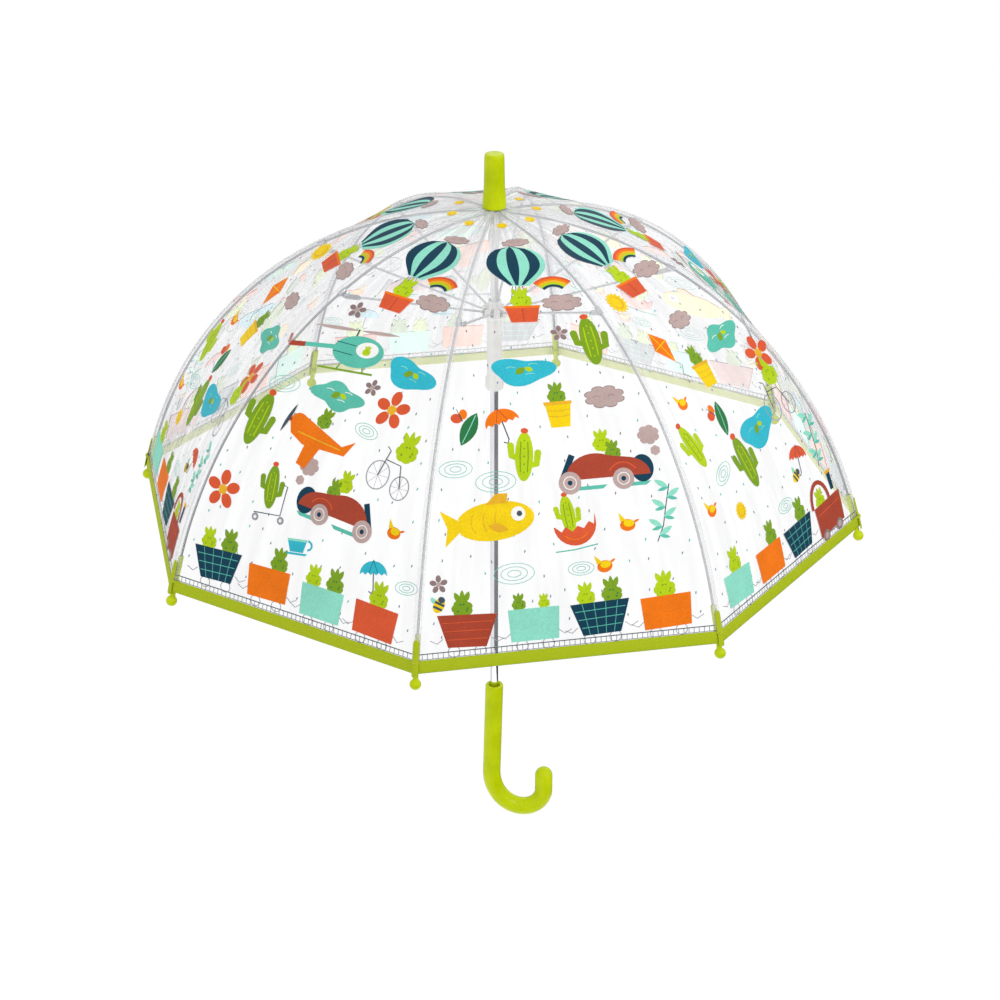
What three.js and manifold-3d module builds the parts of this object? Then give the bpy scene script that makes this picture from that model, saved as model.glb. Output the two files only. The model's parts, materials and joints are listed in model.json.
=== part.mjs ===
// A child's bubble umbrella, standing open: a crook handle and a steel shaft, a slotted crown and a
// sliding runner, eight sprung ribs with their stretchers, and a dome of eight clear film gores.
// Millimetres, +Z up. The origin is on the shaft's axis, in the middle of the grip, and +X points to
// the free end of the crook.

import * as THREE from 'three';
import { mergeVertices } from 'three/addons/utils/BufferGeometryUtils.js';
import Module from 'manifold-3d';

const wasm = await Module();
wasm.setup();

// ---- Driving dimensions ----

const RIBS = 8;
const FIRST_RIB_AZIMUTH = THREE.MathUtils.degToRad(33.96);
const RIB_PITCH = (2 * Math.PI) / RIBS;
const HALF_PITCH = RIB_PITCH / 2;

// The dome is an upright half ellipsoid, cut into flat-sided gores. An angle on it is counted from
// the crown, and an inset is a depth below the film's outer face.
const CROWN_Z = 530;
const DOME_RADIUS = 347;
const DOME_HEIGHT = 369;
const FILM = 0.5;
const SEAM_GAP = 0.4;
const HOLE_ANGLE = 5.5 / DOME_RADIUS;
const FILM_END_ANGLE = THREE.MathUtils.degToRad(75);
const RIM_START_ANGLE = THREE.MathUtils.degToRad(75.05);
const RIM_END_ANGLE = THREE.MathUtils.degToRad(76.4);
const RIM_PROUD = 0.6;
const RIM_INSET = 0.65;
const FILM_STEPS = 12;

const SHAFT_RADIUS = 3.5;
const SHAFT_WALL = 0.6;
const SHAFT_TOP = 568;
const SHAFT_BOTTOM = -28;
const RUNNING_GAP = 0.5;
const REST_GAP = 0.3;

const RIB_INSET = 4;
const RIB_RADIUS = 1.1;
const RIB_HINGE_RADIUS = 7.5;
const RIB_END_ANGLE = THREE.MathUtils.degToRad(73.9);
const EYE_RADIUS = 1.8;
const EYE_HOLE = 0.85;
const EYE_WIDTH = 1.8;
const SLOT_WIDTH = 3;
const WIRE_RADIUS = 0.5;
const RING_STEPS = 32;

const TIP_ANGLE = THREE.MathUtils.degToRad(72.75);
const TIP_SLEEVE_HALF = 9.5;
const TIP_SLEEVE_RADIUS = 2.4;
const TIP_BORE_RADIUS = 1.7;
const TIP_BORE_END = 9;
const TIP_BALL_RADIUS = 4.75;
const TIP_BALL_AT = 32.5;

const JOINT_RADIUS = 158;
const JOINT_DROP = 3.5;
const JOINT_SIDE = 3.4;
const CLIP_BORE = 1.6;
const CLIP_RADIUS = 2.3;
const CLIP_HALF = 4;
const EAR_FROM = 1.5;
const PIVOT_RADIUS = 8;
const PIVOT_Z = 432;
const STRETCHER_RADIUS = 1.1;
const FLAT_LENGTH = 16;
const FLAT_WIDTH = 4.4;
const FLAT_THICKNESS = 1.4;

const NOTCH_BOTTOM = 499;
const NOTCH_NECK_RADIUS = 5.6;
const NOTCH_HEAD_RADIUS = 10;
const NOTCH_HEAD_DROP = 6.5;

const RUNNER_TOP = 442;
const RUNNER_BOTTOM = 355;
const RUNNER_TRAVEL = 187;
const RUNNER_NECK_RADIUS = 6.8;
const RUNNER_BULB_RADIUS = 8.6;
const RUNNER_HEAD_RADIUS = 11.5;
const STOP_PIN_RADIUS = 0.75;
const STOP_PIN_LENGTH = 10;

const FERRULE_TOP = 580;
const FERRULE_TOP_RADIUS = 8.7;
const FERRULE_FOOT_RADIUS = 10.6;

const GRIP_RADIUS = 8.5;
const GRIP_TOP = 44;
const GRIP_LEAN = 2.6;
const CROOK_START = -54;
const CROOK_LOW = -94.5;
const CROOK_LOW_X = 29.4;
const CROOK_END_RADIUS = 19;
const CROOK_END = -59;
const MOUTH_RADIUS = 5.6;
const MOUTH_DEPTH = 4;

const CATCH_LENGTH = 36;
const CATCH_WIDTH = 2.2;
const CATCH_THICKNESS = 0.6;
const CATCH_FACE = 2.1;
const CATCH_PROUD = 2.4;
const CATCH_RAMP = 11;

const LIME = 0xc3d420;
const finishes = {
  lime: { color: LIME, roughness: 0.35, metalness: 0 },
  binding: { color: LIME, roughness: 0.6, metalness: 0 },
  white: { color: 0xe9e8e4, roughness: 0.45, metalness: 0 },
  steel: { color: 0xb9bcc0, roughness: 0.25, metalness: 1 },
  wire: { color: 0x9a9da1, roughness: 0.35, metalness: 1 },
  film: { color: 0xeef3f6, roughness: 0.12, metalness: 0, transparent: true, opacity: 0.3 },
};

// ---- Helpers ----

/** A closed geometry with shared vertices merged and no slivers of zero area. */
function closed(geometry) {
  const plain = geometry.clone();
  plain.deleteAttribute('normal');
  plain.deleteAttribute('uv');
  const merged = mergeVertices(plain, 1e-4);
  const kept = [];
  const { array } = merged.index;
  for (let i = 0; i < array.length; i += 3) {
    const [a, b, c] = [array[i], array[i + 1], array[i + 2]];
    if (a !== b && b !== c && c !== a) kept.push(a, b, c);
  }
  merged.setIndex(kept);
  return merged;
}

function toSolid(geometry) {
  const { index, attributes } = closed(geometry);
  const mesh = new wasm.Mesh({
    numProp: 3,
    vertProperties: new Float32Array(attributes.position.array),
    triVerts: new Uint32Array(index.array),
  });
  return new wasm.Manifold(mesh);
}

function toGeometry(solid) {
  const { vertProperties, triVerts } = solid.getMesh();
  const geometry = new THREE.BufferGeometry();
  geometry.setAttribute('position', new THREE.BufferAttribute(vertProperties, 3));
  geometry.setIndex(new THREE.BufferAttribute(triVerts, 1));
  return geometry;
}

/** A round piece about the Z axis. Its outline is [radius, z] pairs, up the outside first. */
function turned(outline, segments = 24) {
  const points = outline.map(([r, z]) => new THREE.Vector2(r, z));
  return new THREE.LatheGeometry(points, segments).rotateX(Math.PI / 2);
}

/** A sleeve about the Z axis, from z0 to z1. */
function sleeve(inner, outer, z0, z1, segments) {
  return turned([[inner, z0], [outer, z0], [outer, z1], [inner, z1], [inner, z0]], segments);
}

/** A rod about the Z axis, from z0 to z1. */
function rod(radius, z0, z1, segments) {
  return turned([[0, z0], [radius, z0], [radius, z1], [0, z1]], segments);
}

function box(x0, x1, y0, y1, z0, z1) {
  const geometry = new THREE.BoxGeometry(x1 - x0, y1 - y0, z1 - z0);
  return geometry.translate((x0 + x1) / 2, (y0 + y1) / 2, (z0 + z1) / 2);
}

/** A plate with a given outline in X and Z, and its thickness across Y, from y0 to y1. */
function plate(shape, y0, y1, curveSegments = 8) {
  const options = { depth: y1 - y0, bevelEnabled: false, curveSegments };
  return new THREE.ExtrudeGeometry(shape, options).rotateX(Math.PI / 2).translate(0, y1, 0);
}

/** A round bar swept along a path in the XZ plane. */
function bar(path, radius, sides, steps) {
  const section = new THREE.Shape();
  for (let i = 0; i <= sides; i++) {
    const turn = ((i + 0.5) / sides) * 2 * Math.PI;
    const point = [radius * Math.cos(turn), radius * Math.sin(turn)];
    if (i === 0) section.moveTo(...point);
    else section.lineTo(...point);
  }
  return new THREE.ExtrudeGeometry(section, { steps, bevelEnabled: false, extrudePath: path });
}

/** A point in a rib's own plane: radius from the shaft, and height. */
function domePoint(inset, angle) {
  const centre = CROWN_Z - DOME_HEIGHT;
  return new THREE.Vector2(
    (DOME_RADIUS - inset) * Math.sin(angle),
    centre + (DOME_HEIGHT - inset) * Math.cos(angle),
  );
}

/** Down the dome, and inward from it, at an angle from the crown. */
function domeAxes(angle) {
  const ahead = domePoint(0, angle + 0.001).sub(domePoint(0, angle - 0.001)).normalize();
  return { along: ahead, inward: new THREE.Vector2(ahead.y, -ahead.x) };
}

const ribAzimuth = (k) => FIRST_RIB_AZIMUTH + k * RIB_PITCH;

const model = new THREE.Group();

/** Adds a named piece, turned about the shaft. */
function add(name, geometry, finish, azimuth = 0) {
  const mesh = new THREE.Mesh(geometry, new THREE.MeshStandardMaterial(finishes[finish]));
  mesh.name = name;
  mesh.rotation.z = azimuth;
  model.add(mesh);
}

// ---- Shaft, handle and ferrule ----

function shaft() {
  const inner = SHAFT_RADIUS - SHAFT_WALL;
  let solid = toSolid(sleeve(inner, SHAFT_RADIUS, SHAFT_BOTTOM, SHAFT_TOP, 24));
  const pin = STOP_PIN_RADIUS + REST_GAP;
  const pinHole = rod(pin, -SHAFT_RADIUS - 1, SHAFT_RADIUS + 1, 12).rotateY(Math.PI / 2);
  solid = solid.subtract(toSolid(pinHole.translate(0, 0, stopPinZ())));
  const slot = CATCH_WIDTH / 2 + REST_GAP;
  for (const [low, high] of [openCatchSpan(), closedCatchSpan()]) {
    solid = solid.subtract(toSolid(box(-slot, slot, 0, SHAFT_RADIUS + 1, low - 0.6, high + 0.6)));
  }
  return toGeometry(solid);
}

function handle() {
  const flat = (curve) => {
    const inSpace = new THREE.Curve();
    inSpace.getPoint = (u) => {
      const { x, y } = curve.getPoint(u);
      return new THREE.Vector3(x, 0, y);
    };
    return inSpace;
  };
  const endCentre = CROOK_LOW + CROOK_END_RADIUS;
  const sweep = CROOK_LOW_X + GRIP_LEAN;
  const endX = CROOK_LOW_X + CROOK_END_RADIUS;
  const path = new THREE.CurvePath();
  const line = (...ends) => new THREE.LineCurve(...ends.map(([x, z]) => new THREE.Vector2(x, z)));
  path.add(flat(line([0, GRIP_TOP], [-GRIP_LEAN, CROOK_START])));
  path.add(flat(new THREE.EllipseCurve(
    CROOK_LOW_X, CROOK_START, sweep, CROOK_START - CROOK_LOW, Math.PI, 1.5 * Math.PI)));
  path.add(flat(new THREE.EllipseCurve(
    CROOK_LOW_X, endCentre, CROOK_END_RADIUS, CROOK_END_RADIUS, 1.5 * Math.PI, 2 * Math.PI)));
  path.add(flat(line([endX, endCentre], [endX, CROOK_END])));
  const crook = toSolid(bar(path, GRIP_RADIUS, 14, 24));
  const end = toSolid(new THREE.SphereGeometry(GRIP_RADIUS, 14, 8).rotateX(Math.PI / 2)
    .translate(endX, 0, CROOK_END));
  const bore = toSolid(rod(SHAFT_RADIUS + REST_GAP, SHAFT_BOTTOM - REST_GAP, GRIP_TOP + 2, 24));
  const mouth = toSolid(turned([
    [0, GRIP_TOP - MOUTH_DEPTH], [SHAFT_RADIUS + REST_GAP, GRIP_TOP - MOUTH_DEPTH],
    [MOUTH_RADIUS, GRIP_TOP + 1], [0, GRIP_TOP + 1],
  ], 24));
  return toGeometry(crook.add(end).subtract(bore).subtract(mouth));
}

function ferrule() {
  const foot = CROWN_Z + 0.35;
  const bore = SHAFT_RADIUS + REST_GAP;
  const roof = SHAFT_TOP + REST_GAP;
  return turned([
    [bore, foot], [FERRULE_FOOT_RADIUS - 0.6, foot], [FERRULE_FOOT_RADIUS, foot + 0.6],
    [FERRULE_FOOT_RADIUS, foot + 5], [FERRULE_TOP_RADIUS + 0.4, foot + 20],
    [FERRULE_TOP_RADIUS, FERRULE_TOP - 2.5], [FERRULE_TOP_RADIUS - 0.7, FERRULE_TOP - 0.7],
    [FERRULE_TOP_RADIUS - 2.5, FERRULE_TOP], [0, FERRULE_TOP], [0, roof], [bore, roof], [bore, foot],
  ], 28);
}

function stopPinZ() {
  return RUNNER_TOP + REST_GAP + STOP_PIN_RADIUS;
}

function stopPin() {
  const half = STOP_PIN_LENGTH / 2;
  return closed(rod(STOP_PIN_RADIUS, -half, half, 12)).rotateY(Math.PI / 2).translate(0, 0, stopPinZ());
}

// ---- Crown notch and runner: slotted heads that hold the ribs and stretchers on a ring of wire ----

/** Cuts the slots and the wire's channel out of a head. */
function slotted(blank, wireRadius, wireZ, slotFrom, z0, z1) {
  const reach = 20;
  let solid = toSolid(blank);
  for (let k = 0; k < RIBS; k++) {
    const slot = box(slotFrom, reach, -SLOT_WIDTH / 2, SLOT_WIDTH / 2, z0, z1).rotateZ(ribAzimuth(k));
    solid = solid.subtract(toSolid(slot));
  }
  const channel = new THREE.TorusGeometry(wireRadius, WIRE_RADIUS + REST_GAP, 6, RING_STEPS);
  return toGeometry(solid.subtract(toSolid(channel.translate(0, 0, wireZ))));
}

function wireRing(radius, z) {
  return new THREE.TorusGeometry(radius, WIRE_RADIUS, 6, RING_STEPS).translate(0, 0, z);
}

function ribHinge() {
  const angle = Math.asin(RIB_HINGE_RADIUS / (DOME_RADIUS - RIB_INSET));
  return domePoint(RIB_INSET, angle);
}

function topNotch() {
  const hinge = ribHinge();
  const bore = SHAFT_RADIUS + REST_GAP;
  const top = CROWN_Z - FILM - 0.5;
  const headFoot = hinge.y - NOTCH_HEAD_DROP;
  const slotFrom = RIB_HINGE_RADIUS - EYE_RADIUS - REST_GAP;
  const blank = turned([
    [bore, NOTCH_BOTTOM], [NOTCH_NECK_RADIUS - 0.6, NOTCH_BOTTOM], [NOTCH_NECK_RADIUS, NOTCH_BOTTOM + 1],
    [NOTCH_NECK_RADIUS, NOTCH_BOTTOM + 12], [NOTCH_NECK_RADIUS + 0.8, NOTCH_BOTTOM + 14],
    [NOTCH_HEAD_RADIUS, headFoot], [NOTCH_HEAD_RADIUS, top - 0.8], [NOTCH_HEAD_RADIUS - 0.8, top],
    [bore, top], [bore, NOTCH_BOTTOM],
  ], 24);
  return slotted(blank, RIB_HINGE_RADIUS, hinge.y, slotFrom, headFoot - 1.5, top + 2);
}

function runner() {
  const bore = SHAFT_RADIUS + RUNNING_GAP;
  const neck = RUNNER_NECK_RADIUS;
  const bulb = RUNNER_BULB_RADIUS;
  const head = RUNNER_HEAD_RADIUS;
  const bulbTop = RUNNER_BOTTOM + 15;
  const headTop = PIVOT_Z + 3.6;
  const blank = turned([
    [bore, RUNNER_BOTTOM], [neck - 0.4, RUNNER_BOTTOM], [bulb - 0.6, RUNNER_BOTTOM + 1.6],
    [bulb, RUNNER_BOTTOM + 5], [bulb - 0.2, bulbTop - 4], [neck, bulbTop], [neck, PIVOT_Z - 7],
    [head - 0.5, PIVOT_Z - 5], [head, PIVOT_Z - 3], [head, headTop - 1.2], [head - 0.9, headTop],
    [neck - 0.4, headTop], [neck - 0.8, RUNNER_TOP - 1], [neck - 1.4, RUNNER_TOP],
    [bore, RUNNER_TOP], [bore, RUNNER_BOTTOM],
  ], 24);
  const slotFrom = PIVOT_RADIUS - EYE_RADIUS - REST_GAP;
  const geometry = slotted(blank, PIVOT_RADIUS, PIVOT_Z, slotFrom, PIVOT_Z - 3, PIVOT_Z + 12);
  const [low, high] = closedCatchSpan();
  const half = CATCH_WIDTH / 2 + 0.9;
  const window = box(-half, half, 0, 12, low + RUNNER_TRAVEL - 0.5, high + RUNNER_TRAVEL + 0.5);
  return toGeometry(toSolid(geometry).subtract(toSolid(window)));
}

// ---- Spring catches inside the shaft ----

/** Lowest and highest z of the nose that stands out of the shaft. */
function openCatchSpan() {
  const shoulder = RUNNER_BOTTOM - REST_GAP;
  return [shoulder - CATCH_RAMP, shoulder];
}

function closedCatchSpan() {
  const low = RUNNER_BOTTOM + 20 - RUNNER_TRAVEL;
  return [low, low + CATCH_RAMP];
}

/** A leaf spring with a wedge nose. facing is 1 where its flat shoulder looks up, -1 where it looks down. */
function catchSpring([low, high], facing) {
  const shoulder = facing > 0 ? high : low;
  const toe = facing > 0 ? low : high;
  const nose = SHAFT_RADIUS + CATCH_PROUD;
  const face = CATCH_FACE;
  const back = face - CATCH_THICKNESS;
  const shape = new THREE.Shape();
  const outline = [
    [face, toe - facing * CATCH_LENGTH], [face, toe], [nose, shoulder - facing * 2], [nose, shoulder],
    [back, shoulder], [back, toe - facing * CATCH_LENGTH],
  ];
  outline.forEach(([y, z], i) => (i ? shape.lineTo(y, z) : shape.moveTo(y, z)));
  const half = CATCH_WIDTH / 2;
  return plate(shape, -half, half).rotateZ(Math.PI / 2);
}

// ---- Ribs, tips and stretchers, each made in the plane of rib 0 and turned into place ----

/** The dome's line in the XZ plane, at a given inset. */
class RibLine extends THREE.Curve {
  constructor(inset, from, to) {
    super();
    Object.assign(this, { inset, from, to });
  }

  getPoint(u) {
    const { x, y } = domePoint(this.inset, this.from + u * (this.to - this.from));
    return new THREE.Vector3(x, 0, y);
  }
}

/** A flat ring round a hinge wire. */
function eye(x, z, radius, hole, y0, y1) {
  const shape = new THREE.Shape().absarc(x, z, radius, 0, 2 * Math.PI);
  shape.holes.push(new THREE.Path().absarc(x, z, hole, 0, 2 * Math.PI, true));
  return plate(shape, y0, y1, 5);
}

/** A disc that clears a hinge wire out of the bar that meets its eye. */
function eyeHole(x, z) {
  return plate(new THREE.Shape().absarc(x, z, EYE_HOLE, 0, 2 * Math.PI), -3, 3, 5);
}

function rib() {
  const hinge = ribHinge();
  const from = Math.asin(hinge.x / (DOME_RADIUS - RIB_INSET));
  const line = new RibLine(RIB_INSET, from, RIB_END_ANGLE);
  const half = EYE_WIDTH / 2;
  const solid = toSolid(bar(line, RIB_RADIUS, 6, 16))
    .add(toSolid(eye(hinge.x, hinge.y, EYE_RADIUS, EYE_HOLE, -half, half)))
    .subtract(toSolid(eyeHole(hinge.x, hinge.y)));
  return toGeometry(solid);
}

/** Moves a piece made along +Z to lie down the dome at an angle from the crown. */
function layAlongRib(geometry, angle) {
  const { along } = domeAxes(angle);
  const at = domePoint(RIB_INSET, angle);
  return geometry.rotateY(Math.atan2(along.x, along.y)).translate(at.x, 0, at.y);
}

function ribTip() {
  const bottom = TIP_BALL_AT - TIP_BALL_RADIUS;
  const outline = [[TIP_BORE_RADIUS, -TIP_SLEEVE_HALF], [TIP_SLEEVE_RADIUS, -TIP_SLEEVE_HALF]];
  outline.push([TIP_SLEEVE_RADIUS, bottom]);
  const steps = 6;
  for (let i = 1; i <= steps; i++) {
    const turn = (Math.PI * (i + 1)) / (steps + 1);
    outline.push([
      i === steps ? 0 : TIP_BALL_RADIUS * Math.sin(turn),
      TIP_BALL_AT - TIP_BALL_RADIUS * Math.cos(turn),
    ]);
  }
  outline.push([0, TIP_BORE_END], [TIP_BORE_RADIUS, TIP_BORE_END], [TIP_BORE_RADIUS, -TIP_SLEEVE_HALF]);
  return layAlongRib(turned(outline, 10), TIP_ANGLE);
}

function jointAngle() {
  return Math.asin(JOINT_RADIUS / (DOME_RADIUS - RIB_INSET));
}

function jointPoint() {
  const { inward } = domeAxes(jointAngle());
  return domePoint(RIB_INSET, jointAngle()).addScaledVector(inward, JOINT_DROP);
}

/** A clip round the rib, with an ear on one side of the stretcher's pivot. */
function ribJoint() {
  const band = layAlongRib(sleeve(CLIP_BORE, CLIP_RADIUS, -CLIP_HALF, CLIP_HALF, 12), jointAngle());
  const { along, inward } = domeAxes(jointAngle());
  const onRib = domePoint(RIB_INSET, jointAngle());
  const pivot = jointPoint();
  const ear = new THREE.Shape();
  const corner = (a, d) => onRib.clone().addScaledVector(along, a).addScaledVector(inward, d);
  const wide = FLAT_WIDTH / 2;
  const corners = [corner(-3, 0.4), corner(3, 0.4), corner(wide, JOINT_DROP), corner(-wide, JOINT_DROP)];
  corners.forEach(({ x, y }, i) => (i ? ear.lineTo(x, y) : ear.moveTo(x, y)));
  const disc = new THREE.Shape().absarc(pivot.x, pivot.y, wide, 0, 2 * Math.PI);
  const y1 = JOINT_SIDE - FLAT_THICKNESS / 2 - REST_GAP;
  const solid = toSolid(band).add(toSolid(plate(ear, EAR_FROM, y1)))
    .add(toSolid(plate(disc, EAR_FROM, y1, 5)));
  return toGeometry(solid);
}

function stretcher() {
  const pivot = jointPoint();
  const length = Math.hypot(pivot.x - PIVOT_RADIUS, pivot.y - PIVOT_Z);
  const half = EYE_WIDTH / 2;
  const wire = rod(STRETCHER_RADIUS, 0, length - FLAT_LENGTH + 1, 6).rotateY(Math.PI / 2);
  const skew = Math.atan2(JOINT_SIDE, length);
  const flat = new THREE.Shape();
  const wide = FLAT_WIDTH / 2;
  flat.moveTo(length - FLAT_LENGTH, -STRETCHER_RADIUS);
  flat.lineTo(length - FLAT_LENGTH + 3, -wide);
  flat.absarc(length, 0, wide, -Math.PI / 2, Math.PI / 2);
  flat.lineTo(length - FLAT_LENGTH + 3, wide);
  flat.lineTo(length - FLAT_LENGTH, STRETCHER_RADIUS);
  const blade = plate(flat, JOINT_SIDE - FLAT_THICKNESS / 2, JOINT_SIDE + FLAT_THICKNESS / 2, 4);
  const solid = toSolid(wire.rotateZ(skew)).add(toSolid(blade))
    .add(toSolid(eye(0, 0, EYE_RADIUS, EYE_HOLE, -half, half)))
    .subtract(toSolid(eyeHole(0, 0)));
  const rise = Math.atan2(pivot.y - PIVOT_Z, pivot.x - PIVOT_RADIUS);
  return toGeometry(solid).rotateY(-rise).translate(PIVOT_RADIUS, 0, PIVOT_Z);
}

// ---- Film gores and their rim binding, each made about the XZ plane and turned between two ribs ----

/** A shell between two insets, ruled straight from rib to rib, over a stretch of the dome. */
function goreShell(outer, inner, from, to, steps) {
  const points = [];
  for (let i = 0; i <= steps; i++) {
    const angle = from + ((to - from) * i) / steps;
    for (const [inset, side] of [[outer, 1], [outer, -1], [inner, -1], [inner, 1]]) {
      const { x: r, y: z } = domePoint(inset, angle);
      const half = r * Math.sin(HALF_PITCH) - SEAM_GAP / 2;
      points.push(r * Math.cos(HALF_PITCH), side * half, z);
    }
  }
  const faces = [[0, 2, 1], [0, 3, 2]];
  for (let i = 0; i < steps; i++) {
    for (let j = 0; j < 4; j++) {
      const [a, b] = [4 * i + j, 4 * i + ((j + 1) % 4)];
      faces.push([a, b, a + 4], [b, b + 4, a + 4]);
    }
  }
  const last = 4 * steps;
  faces.push([last, last + 1, last + 2], [last, last + 2, last + 3]);
  const geometry = new THREE.BufferGeometry();
  geometry.setAttribute('position', new THREE.Float32BufferAttribute(points, 3));
  geometry.setIndex(faces.flat());
  return geometry;
}

const gore = () => goreShell(0, FILM, HOLE_ANGLE, FILM_END_ANGLE, FILM_STEPS);
const binding = () => goreShell(-RIM_PROUD, RIM_INSET, RIM_START_ANGLE, RIM_END_ANGLE, 1);

// ---- Assembly ----

add('shaft', shaft(), 'steel');
add('handle', handle(), 'lime');
add('ferrule', ferrule(), 'lime');
add('top_notch', topNotch(), 'white');
add('notch_wire', wireRing(RIB_HINGE_RADIUS, ribHinge().y), 'wire');
add('stop_pin', stopPin(), 'wire');
add('runner', runner(), 'white');
add('runner_wire', wireRing(PIVOT_RADIUS, PIVOT_Z), 'wire');
add('open_catch', catchSpring(openCatchSpan(), 1), 'wire');
add('closed_catch', catchSpring(closedCatchSpan(), -1), 'wire');

for (let k = 0; k < RIBS; k++) {
  const azimuth = ribAzimuth(k);
  add(`rib_${k + 1}`, rib(), 'wire', azimuth);
  add(`rib_tip_${k + 1}`, ribTip(), 'lime', azimuth);
  add(`rib_joint_${k + 1}`, ribJoint(), 'wire', azimuth);
  add(`stretcher_${k + 1}`, stretcher(), 'wire', azimuth);
  add(`canopy_panel_${k + 1}`, gore(), 'film', azimuth + HALF_PITCH);
  add(`rim_binding_${k + 1}`, binding(), 'binding', azimuth + HALF_PITCH);
}

export default model;
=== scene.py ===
"""The looks of a child's bubble umbrella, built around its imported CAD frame. Metres, +Z up."""

import json
import math
import random

import bmesh
import bpy
import numpy as np
from mathutils import Matrix, Vector


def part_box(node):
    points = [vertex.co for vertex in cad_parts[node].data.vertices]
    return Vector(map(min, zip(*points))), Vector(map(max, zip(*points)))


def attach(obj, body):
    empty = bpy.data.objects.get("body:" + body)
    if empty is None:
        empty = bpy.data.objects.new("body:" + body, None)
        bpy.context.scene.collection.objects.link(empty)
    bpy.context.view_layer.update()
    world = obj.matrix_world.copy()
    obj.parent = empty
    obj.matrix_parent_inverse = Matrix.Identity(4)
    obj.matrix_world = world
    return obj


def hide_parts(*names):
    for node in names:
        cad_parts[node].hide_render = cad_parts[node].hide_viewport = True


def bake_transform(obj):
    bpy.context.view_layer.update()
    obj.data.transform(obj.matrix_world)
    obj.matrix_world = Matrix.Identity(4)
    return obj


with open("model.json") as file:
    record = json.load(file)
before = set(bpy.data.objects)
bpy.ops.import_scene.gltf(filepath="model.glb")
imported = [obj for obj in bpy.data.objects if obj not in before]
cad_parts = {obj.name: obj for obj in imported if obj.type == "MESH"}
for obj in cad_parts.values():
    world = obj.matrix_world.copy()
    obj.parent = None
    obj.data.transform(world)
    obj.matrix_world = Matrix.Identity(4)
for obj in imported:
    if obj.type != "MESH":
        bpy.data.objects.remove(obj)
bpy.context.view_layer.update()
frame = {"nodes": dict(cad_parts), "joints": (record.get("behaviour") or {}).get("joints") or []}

MM = 0.001
RIBS = 8
PITCH = 2 * math.pi / RIBS
HALF_PITCH = PITCH / 2

# The dome is an upright half ellipsoid, cut into eight gores that run straight from rib to rib.
# An angle on it is counted from the crown, and an inset is a depth below the film's outer face.
DOME_RADIUS = 347 * MM
DOME_HEIGHT = 369 * MM
DOME_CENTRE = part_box("canopy_panel_1")[1].z - DOME_HEIGHT
FILM = 0.5 * MM
HOLE_ANGLE = 5.5 * MM / DOME_RADIUS
FILM_END = math.radians(75.0)
HEM_TOP = math.radians(74.85)
HEM_BOTTOM = math.radians(76.4)
PAD_TOP = math.radians(71.9)
PAD_BOTTOM = HEM_BOTTOM + 0.006
PAD_ROWS = 22
PAD_NOSE = 0.14
PAD_HALF_WIDTH = 2.7 * MM
PAD_THICKNESS = 0.5 * MM

RIB_INSET = 4 * MM
RIB_RADIUS = 1.1 * MM
RIB_HINGE_RADIUS = 7.5 * MM
RIB_END = math.radians(73.9)
TIP_ANGLE = math.radians(72.75)
JOINT_RADIUS = 158 * MM
JOINT_DROP = 3.5 * MM
JOINT_SIDE = 3.4 * MM
PIVOT_RADIUS = 8 * MM
PIVOT_Z = 432 * MM


# ---- Materials ----


def linear(hex_colour):
    """A web colour as linear RGBA."""
    parts = [int(hex_colour[i:i + 2], 16) / 255 for i in (1, 3, 5)]
    return [c / 12.92 if c <= 0.04045 else ((c + 0.055) / 1.055) ** 2.4 for c in parts] + [1.0]


def feed(tree, node, socket, value):
    if isinstance(value, bpy.types.NodeSocket):
        tree.links.new(value, node.inputs[socket])
    else:
        node.inputs[socket].default_value = value


def add_node(tree, kind, inputs, **settings):
    """A new shader node, with its settings and with values or links for its inputs."""
    made = tree.nodes.new(kind)
    for key, value in settings.items():
        setattr(made, key, value)
    for socket, value in inputs.items():
        feed(tree, made, socket, value)
    return made


class Finish:
    """A procedural material, with one Principled shader."""

    def __init__(self, name, **sockets):
        self.material = bpy.data.materials.new(name)
        self.material.use_nodes = True
        self.tree = self.material.node_tree
        self.shader = self.tree.nodes["Principled BSDF"]
        for socket, value in sockets.items():
            self.set(socket.replace("_", " "), value)

    def set(self, socket, value):
        feed(self.tree, self.shader, socket, value)

    def node(self, kind, inputs, **settings):
        return add_node(self.tree, kind, inputs, **settings)

    def attribute(self, name, output="Fac"):
        return self.node("ShaderNodeAttribute", {}, attribute_name=name).outputs[output]

    def noise(self, scale, detail=3.0, stretch=(1, 1, 1), attribute=None):
        """A noise pattern, 0 to 1, in the piece's own space or over a stored vector."""
        if attribute:
            where = self.attribute(attribute, "Vector")
        else:
            where = self.node("ShaderNodeTexCoord", {}).outputs["Object"]
        mapped = self.node("ShaderNodeMapping", {"Vector": where, "Scale": stretch})
        inputs = {"Vector": mapped.outputs["Vector"], "Scale": scale, "Detail": detail}
        return self.node("ShaderNodeTexNoise", inputs).outputs["Fac"]

    def waves(self, attribute, direction, scale):
        """Even bands over a stored vector, for threads and ribbing."""
        inputs = {"Vector": self.attribute(attribute, "Vector"), "Scale": scale, "Distortion": 0.15,
                  "Detail": 0.0}
        return self.node("ShaderNodeTexWave", inputs, bands_direction=direction).outputs["Fac"]

    def span(self, value, low, high, to_low, to_high):
        inputs = {"Value": value, "From Min": low, "From Max": high, "To Min": to_low, "To Max": to_high}
        return self.node("ShaderNodeMapRange", inputs).outputs["Result"]

    def blend(self, share, first, second):
        return self.node("ShaderNodeMix", {0: share, 6: first, 7: second}, data_type="RGBA").outputs[2]

    def math(self, operation, first, second):
        return self.node("ShaderNodeMath", {0: first, 1: second}, operation=operation).outputs[0]

    def bump(self, height, strength, distance):
        inputs = {"Height": height, "Strength": strength, "Distance": distance}
        self.set("Normal", self.node("ShaderNodeBump", inputs).outputs["Normal"])


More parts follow.
